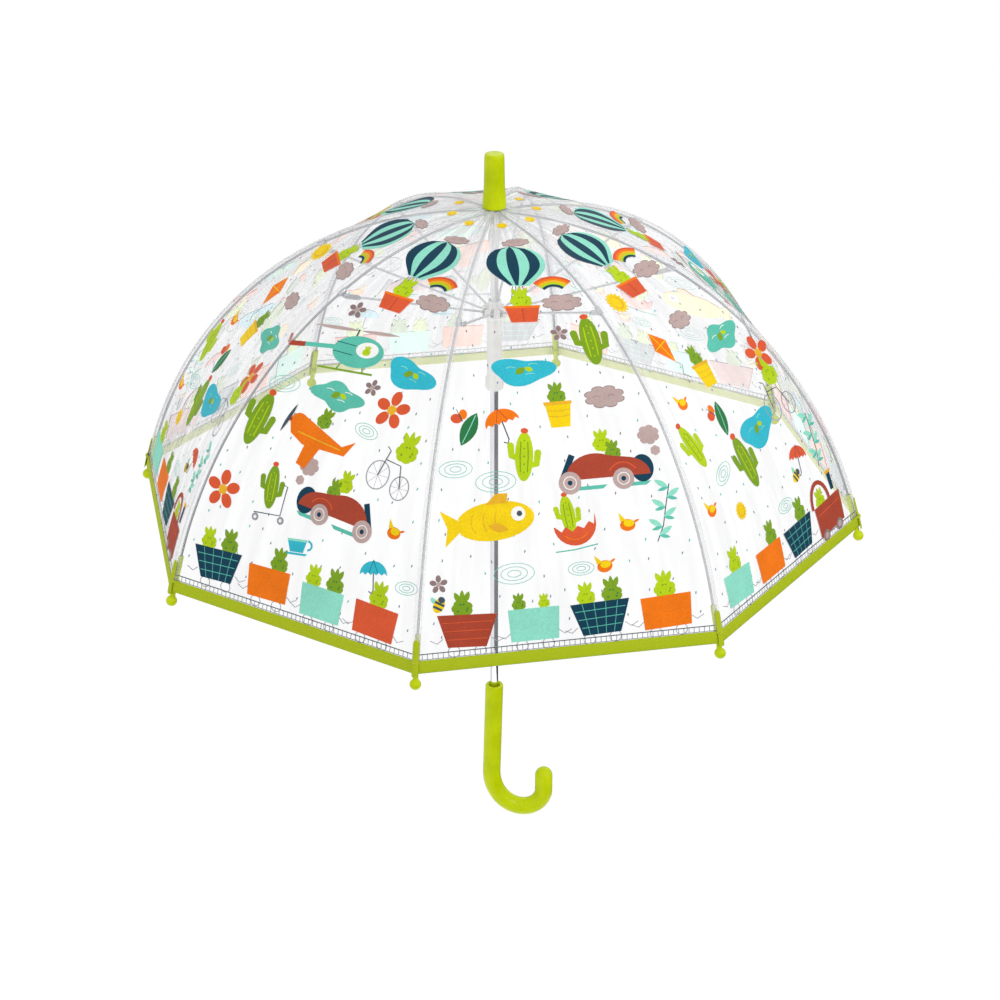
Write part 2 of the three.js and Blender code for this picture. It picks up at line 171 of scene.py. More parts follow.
def lime_plastic():
    """Glossy moulded plastic, a little mottled, with fine scuffs."""
    made = Finish("lime_plastic", Specular_IOR_Level=0.14)
    mottle = made.span(made.noise(55, 4.0), 0.3, 0.7, 0.0, 1.0)
    made.set("Base Color", made.blend(mottle, linear("#b2c300"), linear("#c3d304")))
    scuffs = made.noise(240, 6.0, stretch=(1, 1, 0.15))
    made.set("Roughness", made.span(scuffs, 0.35, 0.75, 0.22, 0.42))
    made.bump(made.noise(900, 2.0), 0.12, 0.0004)
    return made.material


def lime_tape():
    """Woven tape: threads along and across the hem, its inner face painted paler as painted light."""
    made = Finish("lime_tape", Roughness=0.62, Specular_IOR_Level=0.15)
    warp = made.waves("cloth", "X", 420)
    weft = made.waves("cloth", "Y", 520)
    weave = made.math("MULTIPLY", warp, weft)
    fibre = made.noise(2600, 3.0, attribute="cloth")
    shade = made.math("ADD", made.math("MULTIPLY", weave, 0.7), made.math("MULTIPLY", fibre, 0.3))
    face = made.blend(shade, linear("#97a908"), linear("#c8d724"))
    # Painted light: the tape's inner face, the same tape, is painted much paler.
    painted_light_inside = made.blend(shade, linear("#dfe5a2"), linear("#f2f6cc"))
    made.set("Base Color", made.blend(made.attribute("inside"), face, painted_light_inside))
    made.bump(shade, 0.5, 0.0003)
    return made.material


def lime_thread():
    """Twisted sewing thread."""
    made = Finish("lime_thread", Roughness=0.5, Specular_IOR_Level=0.2)
    twist = made.noise(1500, 2.0)
    made.set("Base Color", made.blend(twist, linear("#98a80c"), linear("#ccd83a")))
    made.bump(twist, 0.4, 0.0002)
    return made.material


def white_plastic():
    """Matt moulded plastic, slightly translucent."""
    made = Finish("white_plastic", Subsurface_Weight=0.12, Subsurface_Scale=0.003)
    tone = made.noise(70, 4.0)
    made.set("Base Color", made.blend(tone, linear("#dcdbd8"), linear("#f3f2ef")))
    made.set("Roughness", made.span(made.noise(300, 4.0), 0.3, 0.7, 0.34, 0.5))
    made.bump(made.noise(1100, 2.0), 0.12, 0.0003)
    return made.material


def steel(name, dark, light, rough_low, rough_high, drawn):
    """Bright metal with fine lines drawn along it."""
    made = Finish(name, Metallic=1.0)
    lines = made.noise(drawn, 5.0, stretch=(1, 1, 0.02))
    patina = made.noise(40, 3.0)
    share = made.math("MULTIPLY", lines, patina)
    made.set("Base Color", made.blend(share, linear(light), linear(dark)))
    made.set("Roughness", made.span(lines, 0.3, 0.7, rough_low, rough_high))
    made.bump(lines, 0.05, 0.0001)
    return made.material


def clear_film():
    """Clear film: faintly milky, more opaque where it turns edge-on (painted reflection) and where it
    puckers at the crown, with its folds painted grey (painted shade).
    """
    made = Finish("clear_film", Roughness=0.16, IOR=1.45, Specular_IOR_Level=0.5)
    edge_on = made.node("ShaderNodeLayerWeight", {"Blend": 0.3}).outputs["Facing"]
    streaks = made.noise(5, 6.0, stretch=(2.4, 2.6, 1.7), attribute="fan")
    folds = made.span(streaks, 0.4, 0.62, 0.0, 1.0)
    # Painted reflection: the film grows more opaque, so whiter, where it turns edge-on.
    turned = made.math("MULTIPLY", made.math("POWER", edge_on, 2.4), made.span(folds, 0, 1, 0.55, 0.95))
    crown = made.math("POWER", made.span(made.attribute("along"), 0.01, 0.19, 1.0, 0.0), 1.3)
    pucker = made.math("MULTIPLY", crown, made.span(folds, 0, 1, 0.12, 0.85))
    smear = made.span(made.noise(9, 5.0, stretch=(1, 1, 0.5)), 0.42, 0.75, 0.0, 0.12)
    haze = made.math("ADD", made.math("ADD", turned, pucker), smear)
    made.set("Alpha", made.math("MINIMUM", made.math("ADD", haze, 0.17), 0.86))
    # Painted shade: the folds are painted grey.
    made.set("Base Color", made.blend(folds, linear("#fbfcfd"), linear("#d9d9de")))
    ripple = made.noise(34, 3.0, stretch=(1.6, 0.5, 1), attribute="cloth")
    made.bump(made.math("ADD", ripple, made.math("MULTIPLY", folds, crown)), 0.6, 0.004)
    return made.material


def welded_film():
    """The doubled film of a seam, milky, with the weld's fine ribbing."""
    made = Finish("welded_film", Roughness=0.3, IOR=1.45)
    ribs = made.waves("cloth", "Y", 260)
    cloud = made.noise(160, 4.0)
    made.set("Base Color", made.blend(cloud, linear("#e4e5e8"), linear("#fbfbfc")))
    made.set("Alpha", made.span(made.math("MULTIPLY", ribs, cloud), 0.0, 0.7, 0.14, 0.4))
    made.bump(ribs, 0.35, 0.0003)
    return made.material


def printed_ink():
    """Screen-printed ink, its colour stored on the mesh, with a chalky grain. Its back is given a painted
    glow (emission), standing in for the light that comes through."""
    made = Finish("printed_ink", Roughness=0.5, Specular_IOR_Level=0.08)
    colour = made.attribute("ink", "Color")
    grain = made.span(made.noise(620, 6.0), 0.36, 0.62, 0.0, 1.0)
    patches = made.span(made.noise(45, 3.0), 0.3, 0.7, 0.0, 1.0)
    inputs = {0: 1.0, 6: colour, 7: (0.78, 0.78, 0.78, 1)}
    deep = made.node("ShaderNodeMix", inputs, data_type="RGBA", blend_type="MULTIPLY").outputs[2]
    share = made.math("MULTIPLY", made.math("ADD", grain, patches), 0.5)
    made.set("Base Color", made.blend(share, deep, colour))
    # Painted glow: the inside copy emits its own colour, painted light for the light coming through the ink.
    made.set("Emission Color", colour)
    made.set("Emission Strength", made.math("MULTIPLY", made.attribute("inside"), 0.38))
    made.bump(grain, 0.15, 0.0001)
    return made.material


def studio_floor():
    """Matt white paint."""
    made = Finish("studio_floor", Roughness=0.9)
    tone = made.noise(3, 3.0)
    made.set("Base Color", made.blend(tone, (0.93, 0.93, 0.93, 1), (0.96, 0.96, 0.96, 1)))
    made.set("Emission Color", (1, 1, 1, 1))
    made.set("Emission Strength", 0.5)
    return made.material


finishes = {
    "lime": lime_plastic(),
    "tape": lime_tape(),
    "thread": lime_thread(),
    "white": white_plastic(),
    "chrome": steel("chrome", "#c9c9d2", "#f4f4f8", 0.03, 0.09, 900),
    "wire": steel("drawn_wire", "#85878c", "#c4c6cb", 0.22, 0.4, 1500),
    "rib": steel("rib_wire", "#737479", "#a6a7ac", 0.35, 0.5, 1500),
    "strut": steel("strut_wire", "#9b9ca1", "#d2d3d8", 0.35, 0.5, 1500),
    "film": clear_film(),
    "weld": welded_film(),
    "ink": printed_ink(),
}


# ---- Mesh helpers ----


def turns(count, offset=0.0):
    """Angles evenly spaced round a full turn."""
    return [2 * math.pi * (i + offset) / count for i in range(count)]


def placed(name, data):
    """A new object in the scene."""
    made = bpy.data.objects.new(name, data)
    bpy.context.scene.collection.objects.link(made)
    return made


class Build:
    """Points and faces of a piece as it is put together, each face with its finish."""

    def __init__(self):
        self.points = []
        self.faces = []
        self.finish = []

    def add(self, points, faces, finish):
        start = len(self.points)
        self.points += [tuple(p) for p in points]
        self.faces += [tuple(start + i for i in f) for f in faces]
        self.finish += [finish] * len(faces)

    def piece(self, name, azimuth=0.0, sharp=35, weld=0.001 * MM):
        """The finished piece, with coincident points joined, turned about Z to its place."""
        data = bpy.data.meshes.new(name)
        data.from_pydata(self.points, [], self.faces)
        used = sorted(set(self.finish))
        for key in used:
            data.materials.append(finishes[key])
        data.polygons.foreach_set("material_index", [used.index(f) for f in self.finish])
        bm = bmesh.new()
        bm.from_mesh(data)
        bmesh.ops.remove_doubles(bm, verts=bm.verts, dist=weld)
        bmesh.ops.recalc_face_normals(bm, faces=bm.faces)
        bm.to_mesh(data)
        bm.free()
        data.shade_smooth()
        data.set_sharp_from_angle(angle=math.radians(sharp))
        data.transform(Matrix.Rotation(azimuth, 4, "Z"))
        return placed(name, data)


def settle(piece, body, finish, *nodes):
    """Parents a rigid piece to the body it rides on and hides the CAD nodes it stands for. The finish
    argument is not used.
    """
    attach(piece, body)
    if nodes:
        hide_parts(*nodes)


def tube_faces(rings, sides, closed=False):
    """Quads between rings of points, with the end rings left open or joined to each other."""
    faces = []
    for i in range(rings if closed else rings - 1):
        for j in range(sides):
            a, b = i * sides + j, i * sides + (j + 1) % sides
            c = (i + 1) % rings * sides
            faces.append((a, b, c + (j + 1) % sides, c + j))
    return faces


def rounded(outline, closed=False, steps=4):
    """An outline of (r, z, fillet) corners, with each corner rounded by its fillet, in millimetres."""
    points = []
    count = len(outline)
    for i, (x, z, fillet) in enumerate(outline):
        if fillet == 0 or (not closed and i in (0, count - 1)):
            points.append((x, z))
            continue
        here = Vector((x, z))
        before = Vector(outline[i - 1][:2])
        after = Vector(outline[(i + 1) % count][:2])
        start = here + (before - here).normalized() * fillet
        end = here + (after - here).normalized() * fillet
        for k in range(steps + 1):
            t = k / steps
            p = start * (1 - t) ** 2 + here * 2 * t * (1 - t) + end * t * t
            points.append((p.x, p.y))
    return points


def turned(outline, sides):
    """The points of an (r, z) outline turned about the Z axis."""
    return [Vector((r * math.cos(a), r * math.sin(a), z)) for r, z in outline for a in turns(sides)]


def lathe(build, outline, finish, sides=48, closed=False):
    """Turns an (r, z) outline in millimetres about the Z axis."""
    points = [p * MM for p in turned(outline, sides)]
    build.add(points, tube_faces(len(outline), sides, closed), finish)


def sweep(build, rings, finish, sides=12):
    """A round bar through rings (x, z, direction, radius) in the XZ plane, in metres."""
    points = []
    for x, z, (dx, dz), radius in rings:
        size = math.hypot(dx, dz)
        for turn in turns(sides, 0.5):
            out = radius * math.cos(turn)
            points.append((x - dz / size * out, radius * math.sin(turn), z + dx / size * out))
    build.add(points, tube_faces(len(rings), sides), finish)


def rod(build, start, end, radius, finish, sides=12, dome=0.0):
    """A round bar between two points, with its ends closed, domed if asked."""
    start, end = Vector(start), Vector(end)
    turn = (end - start).to_track_quat("Z", "Y").to_matrix()
    length = (end - start).length
    outline = [(0, -dome)]
    outline += [(radius * math.sin(t), -dome * math.cos(t)) for t in np.linspace(0.5, math.pi / 2, 4)]
    outline += [(r, length - z) for r, z in reversed(outline)]
    build.add([start + turn @ p for p in turned(outline, sides)], tube_faces(len(outline), sides), finish)


def hoop(build, centre, axis, radius, wire, finish, sides=10, steps=32, stretch=(1, 1)):
    """A ring of wire, round or oval."""
    turn = Vector(axis).to_track_quat("Z", "Y").to_matrix()
    points = []
    for a in turns(steps):
        for b in turns(sides):
            reach = radius + wire * math.cos(b)
            local = Vector((reach * math.cos(a) * stretch[0], reach * math.sin(a) * stretch[1],
                            wire * math.sin(b)))
            points.append(Vector(centre) + turn @ local)
    build.add(points, tube_faces(steps, sides, closed=True), finish)


def plate(build, outline, y0, y1, finish, bevel=0.0):
    """A flat plate with an outline in X and Z, from y0 to y1, with its edges bevelled."""
    centre = np.mean(np.array(outline), axis=0)
    count = len(outline)
    points = []
    for y, shrink in ((y0, bevel), (y0 + bevel, 0), (y1 - bevel, 0), (y1, bevel)):
        for x, z in outline:
            away = np.array([x, z]) - centre
            x, z = centre + away * (1 - shrink / max(np.hypot(*away), 1e-6))
            points.append((x, y, z))
    faces = tube_faces(4, count)
    faces += [tuple(range(count)), tuple(reversed(range(3 * count, 4 * count)))]
    build.add(points, faces, finish)


def box_mesh(x0, x1, y0, y1, z0, z1, azimuth=0.0):
    """A box to cut with, turned about Z."""
    bm = bmesh.new()
    bmesh.ops.create_cube(bm, size=1)
    size = Vector((x1 - x0, y1 - y0, z1 - z0))
    centre = Vector((x0 + x1, y0 + y1, z0 + z1)) / 2
    bmesh.ops.scale(bm, vec=size, verts=bm.verts)
    bmesh.ops.translate(bm, vec=centre, verts=bm.verts)
    bmesh.ops.rotate(bm, cent=(0, 0, 0), matrix=Matrix.Rotation(azimuth, 3, "Z"), verts=bm.verts)
    data = bpy.data.meshes.new("cutter")
    bm.to_mesh(data)
    bm.free()
    return data


def cut(piece, cutters):
    """Takes the cutters' boxes out of a piece."""
    tools = [placed("cutter", data) for data in cutters]
    for tool in tools:
        change = piece.modifiers.new("cut", "BOOLEAN")
        change.operation = "DIFFERENCE"
        change.solver = "EXACT"
        change.object = tool
    bpy.context.view_layer.update()
    ready = piece.evaluated_get(bpy.context.evaluated_depsgraph_get())
    data = bpy.data.meshes.new_from_object(ready)
    piece.modifiers.clear()
    piece.data = data
    for tool in tools:
        bpy.data.objects.remove(tool)
    data.shade_smooth()
    data.set_sharp_from_angle(angle=math.radians(30))


# ---- The dome ----


def dome_point(inset, angle):
    """Radius from the shaft and height, in a rib's own plane."""
    return ((DOME_RADIUS - inset) * math.sin(angle),
            DOME_CENTRE + (DOME_HEIGHT - inset) * math.cos(angle))


def dome_along(angle):
    """Down the dome, at an angle from the crown."""
    x, z = DOME_RADIUS * math.cos(angle), -DOME_HEIGHT * math.sin(angle)
    size = math.hypot(x, z)
    return x / size, z / size


def offset_point(angle, along, inward):
    """A point near a rib: so far down the dome from an angle, and so far inside the rib's line."""
    x, z = dome_point(RIB_INSET, angle)
    dx, dz = dome_along(angle)
    return x + dx * along + dz * inward, z + dz * along - dx * inward


rib_axes = {j["child"]: j["axis"] for j in frame["joints"] if j["child"].startswith("rib_")}
azimuths = [math.atan2(-rib_axes[f"rib_{k}"][0], rib_axes[f"rib_{k}"][1]) for k in range(1, RIBS + 1)]

# Along a gore's middle, from the crown: the angle, the radius, the height and the length so far.
ANGLES = np.linspace(0, HEM_BOTTOM + 0.02, 3000)
MID_RADIUS = DOME_RADIUS * math.cos(HALF_PITCH) * np.sin(ANGLES)
MID_HEIGHT = DOME_CENTRE + DOME_HEIGHT * np.cos(ANGLES)
MID_LENGTH = np.concatenate([[0], np.cumsum(np.hypot(np.diff(MID_RADIUS), np.diff(MID_HEIGHT)))])


def length_at(angle):
    """How far down a gore's middle an angle lies."""
    return float(np.interp(angle, ANGLES, MID_LENGTH))


FILM_START_S = length_at(HOLE_ANGLE)
FILM_END_S = length_at(FILM_END)
HEM_TOP_S = length_at(HEM_TOP)
HEM_BOTTOM_S = length_at(HEM_BOTTOM)
SAG = 2.2 * MM
CROWN_FOLD = 0.35 * MM
CROWN_FOLDS_END = 0.11


def half_width(s):
    """Half of a gore's width, s metres down its middle from the crown."""
    return np.interp(s, MID_LENGTH, MID_RADIUS) * math.tan(HALF_PITCH)


def gore_points(s, u, lift, number):
    """Where flat gore coordinates lie on the dome: s down the middle, u to its right seen from outside."""
    s, u, lift = np.broadcast_arrays(np.asarray(s, float), u, lift)
    width = half_width(s)
    share = np.clip(u / np.maximum(width, 1e-6), -1, 1)
    angle = np.interp(s, MID_LENGTH, ANGLES)
    nr, nz = np.sin(angle) / (DOME_RADIUS * math.cos(HALF_PITCH)), np.cos(angle) / DOME_HEIGHT
    size = np.hypot(nr, nz)
    sag = SAG * np.sin(np.pi * np.clip(s / HEM_BOTTOM_S, 0, 1)) * (1 - share**2)
    fade = np.clip(s / 0.02, 0, 1) * np.clip(1 - s / CROWN_FOLDS_END, 0, 1)
    fold = CROWN_FOLD * fade * np.sin(share * 3 * np.pi + number) * (1 - share**2)
    out = lift - sag + fold
    radius = np.interp(s, MID_LENGTH, MID_RADIUS) + out * nr / size
    height = np.interp(s, MID_LENGTH, MID_HEIGHT) + out * nz / size
    azimuth = azimuths[number - 1] + HALF_PITCH
    x = radius * math.cos(azimuth) - u * math.sin(azimuth)
    y = radius * math.sin(azimuth) + u * math.cos(azimuth)
    return np.stack([x, y, height], axis=-1)


def fold_with_gore(piece, number, side):
    """Bakes a piece on half a gore into its mesh. It works out where the seam and the gore's middle line at
    u = 0 lie at the hem's top, but does not use them."""
    seam, middle = gore_points(HEM_TOP_S, [side * half_width(HEM_TOP_S), 0], 0, number)
    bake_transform(piece)


def store(data, name, values, kind="FLOAT"):
    """Keeps a value for each point, for a material to read."""
    field = {"FLOAT": "value", "FLOAT_VECTOR": "vector", "FLOAT_COLOR": "color"}[kind]
    made = data.attributes.new(name, kind, "POINT")
    made.data.foreach_set(field, np.asarray(values, np.float32).ravel())


def cloth_piece(kind, number, side, s, u, lift, faces, finish, face_finish=None):
    """A piece of a gore's half, from its flat coordinates, laid on the dome."""
    name = f"{kind}_{number}_{'left' if side < 0 else 'right'}"
    s, u = np.asarray(s, float), np.asarray(u, float)
    data = bpy.data.meshes.new(name)
    data.from_pydata(gore_points(s, u, lift, number).tolist(), [], faces)
    keys = sorted(set(face_finish or [finish]))
    for key in keys:
        data.materials.append(finishes[key])
    if face_finish:
        data.polygons.foreach_set("material_index", [keys.index(f) for f in face_finish])
    data.shade_smooth()
    store(data, "cloth", np.stack([u, s, np.zeros_like(s)], axis=-1), "FLOAT_VECTOR")
    share = u / np.maximum(half_width(s), 1e-6)
    store(data, "fan", np.stack([share, s, np.full_like(s, number)], axis=-1), "FLOAT_VECTOR")
    store(data, "along", s)
    store(data, "inside", np.broadcast_to(np.asarray(lift) < -0.05 * MM, s.shape))
    made = placed(name, data)
    fold_with_gore(made, number, side)
    return made


def grid_faces(rows, columns, flip):
    """Quads between the points of a grid."""
    faces = []
    for i in range(rows - 1):
        for j in range(columns - 1):
            a = i * columns + j
            quad = (a, a + columns, a + columns + 1, a + 1)
            faces.append(tuple(reversed(quad)) if flip else quad)
    return faces


FILM_ROWS = 90
FILM_COLUMNS = 18
SEAM_WIDTH = 3.6 * MM
SEAM_ROWS = 70


def film_half(number, side):
    """Half of a gore's film, one sheet from its seam to its middle line."""
    s = np.repeat(np.linspace(FILM_START_S, FILM_END_S, FILM_ROWS), FILM_COLUMNS)
    share = np.tile(np.linspace(1, 0, FILM_COLUMNS), FILM_ROWS)
    u = side * share * half_width(s)
    faces = grid_faces(FILM_ROWS, FILM_COLUMNS, side > 0)
    return cloth_piece("film", number, side, s, u, -FILM / 2, faces, "film")


def seam_half(number, side):
    """Half of a seam's welded strip."""
    section = [(0, 0.1), (0, 0.4), (0.1, 0.45), (0.9, 0.4), (1, 0.1)]
    s, u, lift = [], [], []
    for at in np.linspace(FILM_START_S + 2 * MM, FILM_END_S, SEAM_ROWS):
        width = float(half_width(at))
        strip = min(SEAM_WIDTH, 0.45 * width)
        for across, up in section:
            s.append(at)
            u.append(side * (width - across * strip))
            lift.append(up * MM)
    faces = [f if side < 0 else tuple(reversed(f)) for f in tube_faces(SEAM_ROWS, len(section))]
    return cloth_piece("seam", number, side, s, u, lift, faces, "weld")


HEM_COLUMNS = 46
HEM_THICKNESS = 1.1 * MM
STITCH_ROW = 0.22
STITCH_START = 3 * MM
STITCH_PITCH = 3.6 * MM
STITCH_LENGTH = 2.4 * MM
STITCH_WIDTH = 0.45 * MM
STITCH_LIFT = 0.58 * MM
STITCH_SIDES = 6


def binding_half(number, side):
    """Half of a gore's hem: tape folded round the film's edge, with a row of stitches."""
    drop = HEM_BOTTOM_S - HEM_TOP_S
    outline = [(-0.1, 0.55), (0.0, 0.85), (0.25, 1.05), (0.6, 1.1), (0.88, 1.0), (1.0, 0.35), (0.97, -0.45),
               (0.85, -0.85), (0.5, -0.95), (0.1, -0.85), (0.0, -0.6), (0.0, -0.3), (0.1, 0.3)]
    s, u, lift, faces, finish = [], [], [], [], []
    for i in range(HEM_COLUMNS):
        share = 1 - i / (HEM_COLUMNS - 1)
        swell = 1 + 0.06 * math.sin(i * 1.7 + number)
        for down, out in outline:
            at = HEM_TOP_S + down * drop
            s.append(at)
            u.append(side * share * float(half_width(at)))
            lift.append(out * swell * HEM_THICKNESS / 2)
    faces += [f if side > 0 else tuple(reversed(f)) for f in tube_faces(HEM_COLUMNS, len(outline))]
    finish += ["tape"] * len(faces)
    row = HEM_TOP_S + STITCH_ROW * drop
    reach = float(half_width(row)) - STITCH_START
    for i in range(int(reach / STITCH_PITCH)):
        add_stitch(s, u, lift, faces, finish, row, side * (reach - i * STITCH_PITCH))
    return cloth_piece("hem", number, side, s, u, lift, faces, "tape", finish)


def add_stitch(s, u, lift, faces, finish, row, middle):
    """One stitch: a short, low bead of thread on the tape's outer face."""
    start = len(s)
    for along, radius in ((-1, 0.0), (-0.8, 0.7), (0, 1.0), (0.8, 0.7), (1, 0.0)):
        for turn in turns(STITCH_SIDES):
            u.append(middle + along * STITCH_LENGTH / 2)
            s.append(row + radius * STITCH_WIDTH * 0.6 * math.cos(turn))
            lift.append(STITCH_LIFT + radius * STITCH_WIDTH * 0.6 * math.sin(turn))
    stitch = [tuple(start + i for i in f) for f in tube_faces(5, STITCH_SIDES)]
    faces += stitch
    finish += ["thread"] * len(stitch)


# ---- The print: flat motifs in millimetres, x to the right and y towards the crown ----

INKS = {
    "teal": "#123f55", "mint": "#93e2cb", "sea": "#5fc3ae", "coral": "#e05c36", "orange": "#f57a14",
    "yellow": "#f8d412", "gold": "#eeb62a", "pool": "#35bcd0", "leaf": "#7fa524", "fern": "#2f7a48",
    "lime": "#b8d418", "brick": "#ad4732", "mauve": "#bfa7a3", "plum": "#927c7c", "slate": "#47555f",
    "line": "#9d9da6", "white": "#fbfaf6", "rain": "#7492a3",
}


def oval(x, y, rx, ry, count=22):
    return [(x + rx * math.cos(t), y + ry * math.sin(t)) for t in turns(count)]


def slab(x, y, top, bottom, height):
    """A box or a basket's side: wider or narrower at the foot."""
    return [(x - top / 2, y + height / 2), (x - bottom / 2, y - height / 2),
            (x + bottom / 2, y - height / 2), (x + top / 2, y + height / 2)]


def arc(x, y, rx, ry, start, end, count=14):
    """Part of an oval's edge, from one angle to another in degrees."""
    angles = np.radians(np.linspace(start, end, count))
    return [(x + rx * math.cos(t), y + ry * math.sin(t)) for t in angles]


def stroke(path, width):
    """A drawn line, as one narrow outline."""
    line = [Vector(p) for p in path]
    left, right = [], []
    for i, here in enumerate(line):
        ahead = line[min(i + 1, len(line) - 1)] - line[max(i - 1, 0)]
        side = Vector((-ahead.y, ahead.x)).normalized() * (width / 2)
        left.append(tuple(here + side))
        right.append(tuple(here - side))
    return left + right[::-1]


def scallops(x, y, rx, ry, bumps, depth=0.16):
    """A puffy outline."""
    points = []
    for turn in turns(bumps * 6):
        puff = 1 - depth + depth * abs(math.sin(turn * bumps / 2)) ** 0.6
        points.append((x + rx * puff * math.cos(turn), y + ry * puff * math.sin(turn)))
    return points


def rays(outer, inner, count):
    """A star's outline."""
    reaches = [outer, inner] * count
    return [(r * math.cos(t), r * math.sin(t)) for r, t in zip(reaches, turns(2 * count))]


def lens(x0, y0, x1, y1, width, count=8):
    """A leaf or petal, pointed at both ends."""
    start, end = Vector((x0, y0)), Vector((x1, y1))
    side = (end - start).orthogonal().normalized() * width / 2
    shares = [i / count for i in range(count + 1)]
    left = [start.lerp(end, t) + side * math.sin(math.pi * t) ** 0.8 for t in shares]
    right = [start.lerp(end, t) - side * math.sin(math.pi * t) ** 0.8 for t in shares[1:-1]]
    return [tuple(p) for p in left + right[::-1]]


def pool_shape(width, height, lobes):
    """A puddle: an oval whose edge swells and draws in."""
    points = []
    for turn in turns(36):
        reach = 1 + 0.17 * math.sin(lobes * turn + 0.8) + 0.1 * math.sin(2 * turn + 2)
        points.append((width / 2 * reach * math.cos(turn), height / 2 * reach * math.sin(turn)))
    return points


def ring(ink, x, y, rx, ry, width, count=26):
    """A drawn oval, as two half loops."""
    return [(ink, stroke(arc(x, y, rx, ry, start, start + 180, count // 2), width)) for start in (0, 180)]


def sprout(x, y, size, ink="lime"):
    """A round bush with a few leaves on top, for a load or a rider."""
    shapes = [(ink, lens(x - size * 0.2, y + size * 0.5, x - size * 0.7, y + size * 1.5, size * 0.5)),
              (ink, lens(x + size * 0.2, y + size * 0.5, x + size * 0.65, y + size * 1.55, size * 0.5)),
              (ink, lens(x, y + size * 0.4, x, y + size * 1.7, size * 0.45)),
              (ink, scallops(x, y, size, size * 0.85, 7, 0.12))]
    speck = "leaf" if ink == "lime" else "fern"
    for i in range(5):
        dx, dy = size * 0.5 * math.cos(i * 1.9), size * 0.4 * math.sin(i * 1.9)
        shapes.append((speck, oval(x + dx, y + dy, size * 0.09, size * 0.09, 6)))
    return shapes


def cactus(size=1.0, ink="leaf"):
    """A garden cactus: a tall round body with two arms and rows of dots."""
    light = "lime" if ink == "leaf" else "leaf"
    shapes = [(ink, stroke([(-3, -2), (-11, 0), (-12, 9)], 6)), (ink, oval(-12, 9, 3, 3, 10)),
              (ink, stroke([(3, -8), (11, -6), (12, 4)], 6)), (ink, oval(12, 4, 3, 3, 10)),
              (ink, oval(0, 0, 8, 22)), (light, stroke([(-3, -14), (-3.6, 0), (-3, 13)], 1)),
              (light, stroke([(3, -14), (3.6, 0), (3, 13)], 1)), ("coral", oval(0, 23, 3.4, 2.6, 10))]
    shapes += [(light, oval(0, y, 0.8, 0.8, 6)) for y in range(-14, 16, 7)]
    return scaled(shapes, size)


def scaled(shapes, size, mirror=1):
    """Shapes made larger or smaller, and mirrored from left to right if mirror is -1."""
    return [(ink, [(x * size * mirror, y * size) for x, y in points]) for ink, points in shapes]


def moved(shapes, dx, dy):
    """Shapes shifted by so much."""
    return [(ink, [(x + dx, y + dy) for x, y in points]) for ink, points in shapes]


def envelope(left, right, x=0.0, y=0.0):
    """A stripe of a balloon, between two shares of its half width: round above, drawn in to a neck."""
    shares = np.linspace(0, 1, 13)
    outline = []
    for t, edge in [(t, left) for t in shares] + [(t, right) for t in shares[::-1]]:
        if t < 0.5:
            reach = 23 * math.sqrt(1 - (1 - 2 * t) ** 2)
        else:
            reach = 6 + 17 * max(0, math.cos((t - 0.5) * math.pi)) ** 1.1
        outline.append((x + reach * edge, y + 26 - 50 * t))
    return outline


def balloon():
    """A striped hot-air balloon with a planted basket."""
    edges = [-1, -0.6, -0.22, 0.2, 0.6, 1]
    shapes = [("mint", envelope(-0.9, 1, 4.5, -1))]
    for i in range(5):
        shapes.append(("mint" if i % 2 else "teal", envelope(edges[i], edges[i + 1])))
    shapes += [("slate", stroke([(x * 0.5, -25), (x, -45)], 0.5)) for x in (-8, -3, 3, 8)]
    shapes += sprout(1, -42, 9.5)
    shapes += [("coral", slab(1, -56, 30, 22, 17)), ("orange", slab(1, -48.5, 31, 30, 2.4)),
               ("brick", stroke([(1, -50), (1, -64)], 0.7))]
    return shapes


def rainbow():
    bands = [("coral", 21), ("orange", 18.6), ("gold", 16.2), ("lime", 13.8), ("teal", 11.4)]
    return [(ink, stroke(arc(0, 0, r, r, 28, 122, 12), 2.5)) for ink, r in bands]


def cloud(width=34, height=17):
    shapes = [("plum", scallops(0, 0, width / 2 + 0.7, height / 2 + 0.7, 8, 0.2)),
              ("mauve", scallops(0, 0, width / 2, height / 2, 8, 0.2))]
    shapes += [("plum", stroke(arc(x, -1, 3, 2.4, 20, 160, 6), 0.5)) for x in (-width / 5, width / 6)]
    return shapes


def sun(size=1.0):
    shapes = [("yellow", rays(12, 9, 16)), ("gold", oval(0, 0, 7.2, 7.2, 16)),
              ("yellow", oval(-0.5, 0.5, 6, 6, 16))]
    return scaled(shapes, size)


def flower(ink="coral", heart="gold", size=1.0):
    shapes = [("leaf", stroke([(0, 0), (1, -8)], 0.9))] if size > 0.8 else []
    for turn in turns(5):
        c, d = math.cos(turn + 0.3), math.sin(turn + 0.3)
        shapes.append((ink, [(x * c - y * d, x * d + y * c) for x, y in oval(10.5, 0, 6.6, 4.9, 16)]))
    shapes.append((heart, rays(5.2, 3.6, 9)))
    return scaled(shapes, size)


def puddle(width=44, height=25, ink="pool", lobes=3):
    pale = "mint" if ink == "pool" else "white"
    shapes = [(ink, pool_shape(width, height, lobes))]
    for x, y in ((-0.2, 0.15), (0.12, -0.12), (0.2, 0.22)):
        line = [(width * x - 4, height * y), (width * x, height * y + 0.8), (width * x + 4, height * y)]
        shapes.append((pale, stroke(line, 0.6)))
    shapes += [("leaf", lens(-6, -2, 2, 3, 6)), ("lime", lens(2, 3, 9, 0, 4.5))]
    return shapes


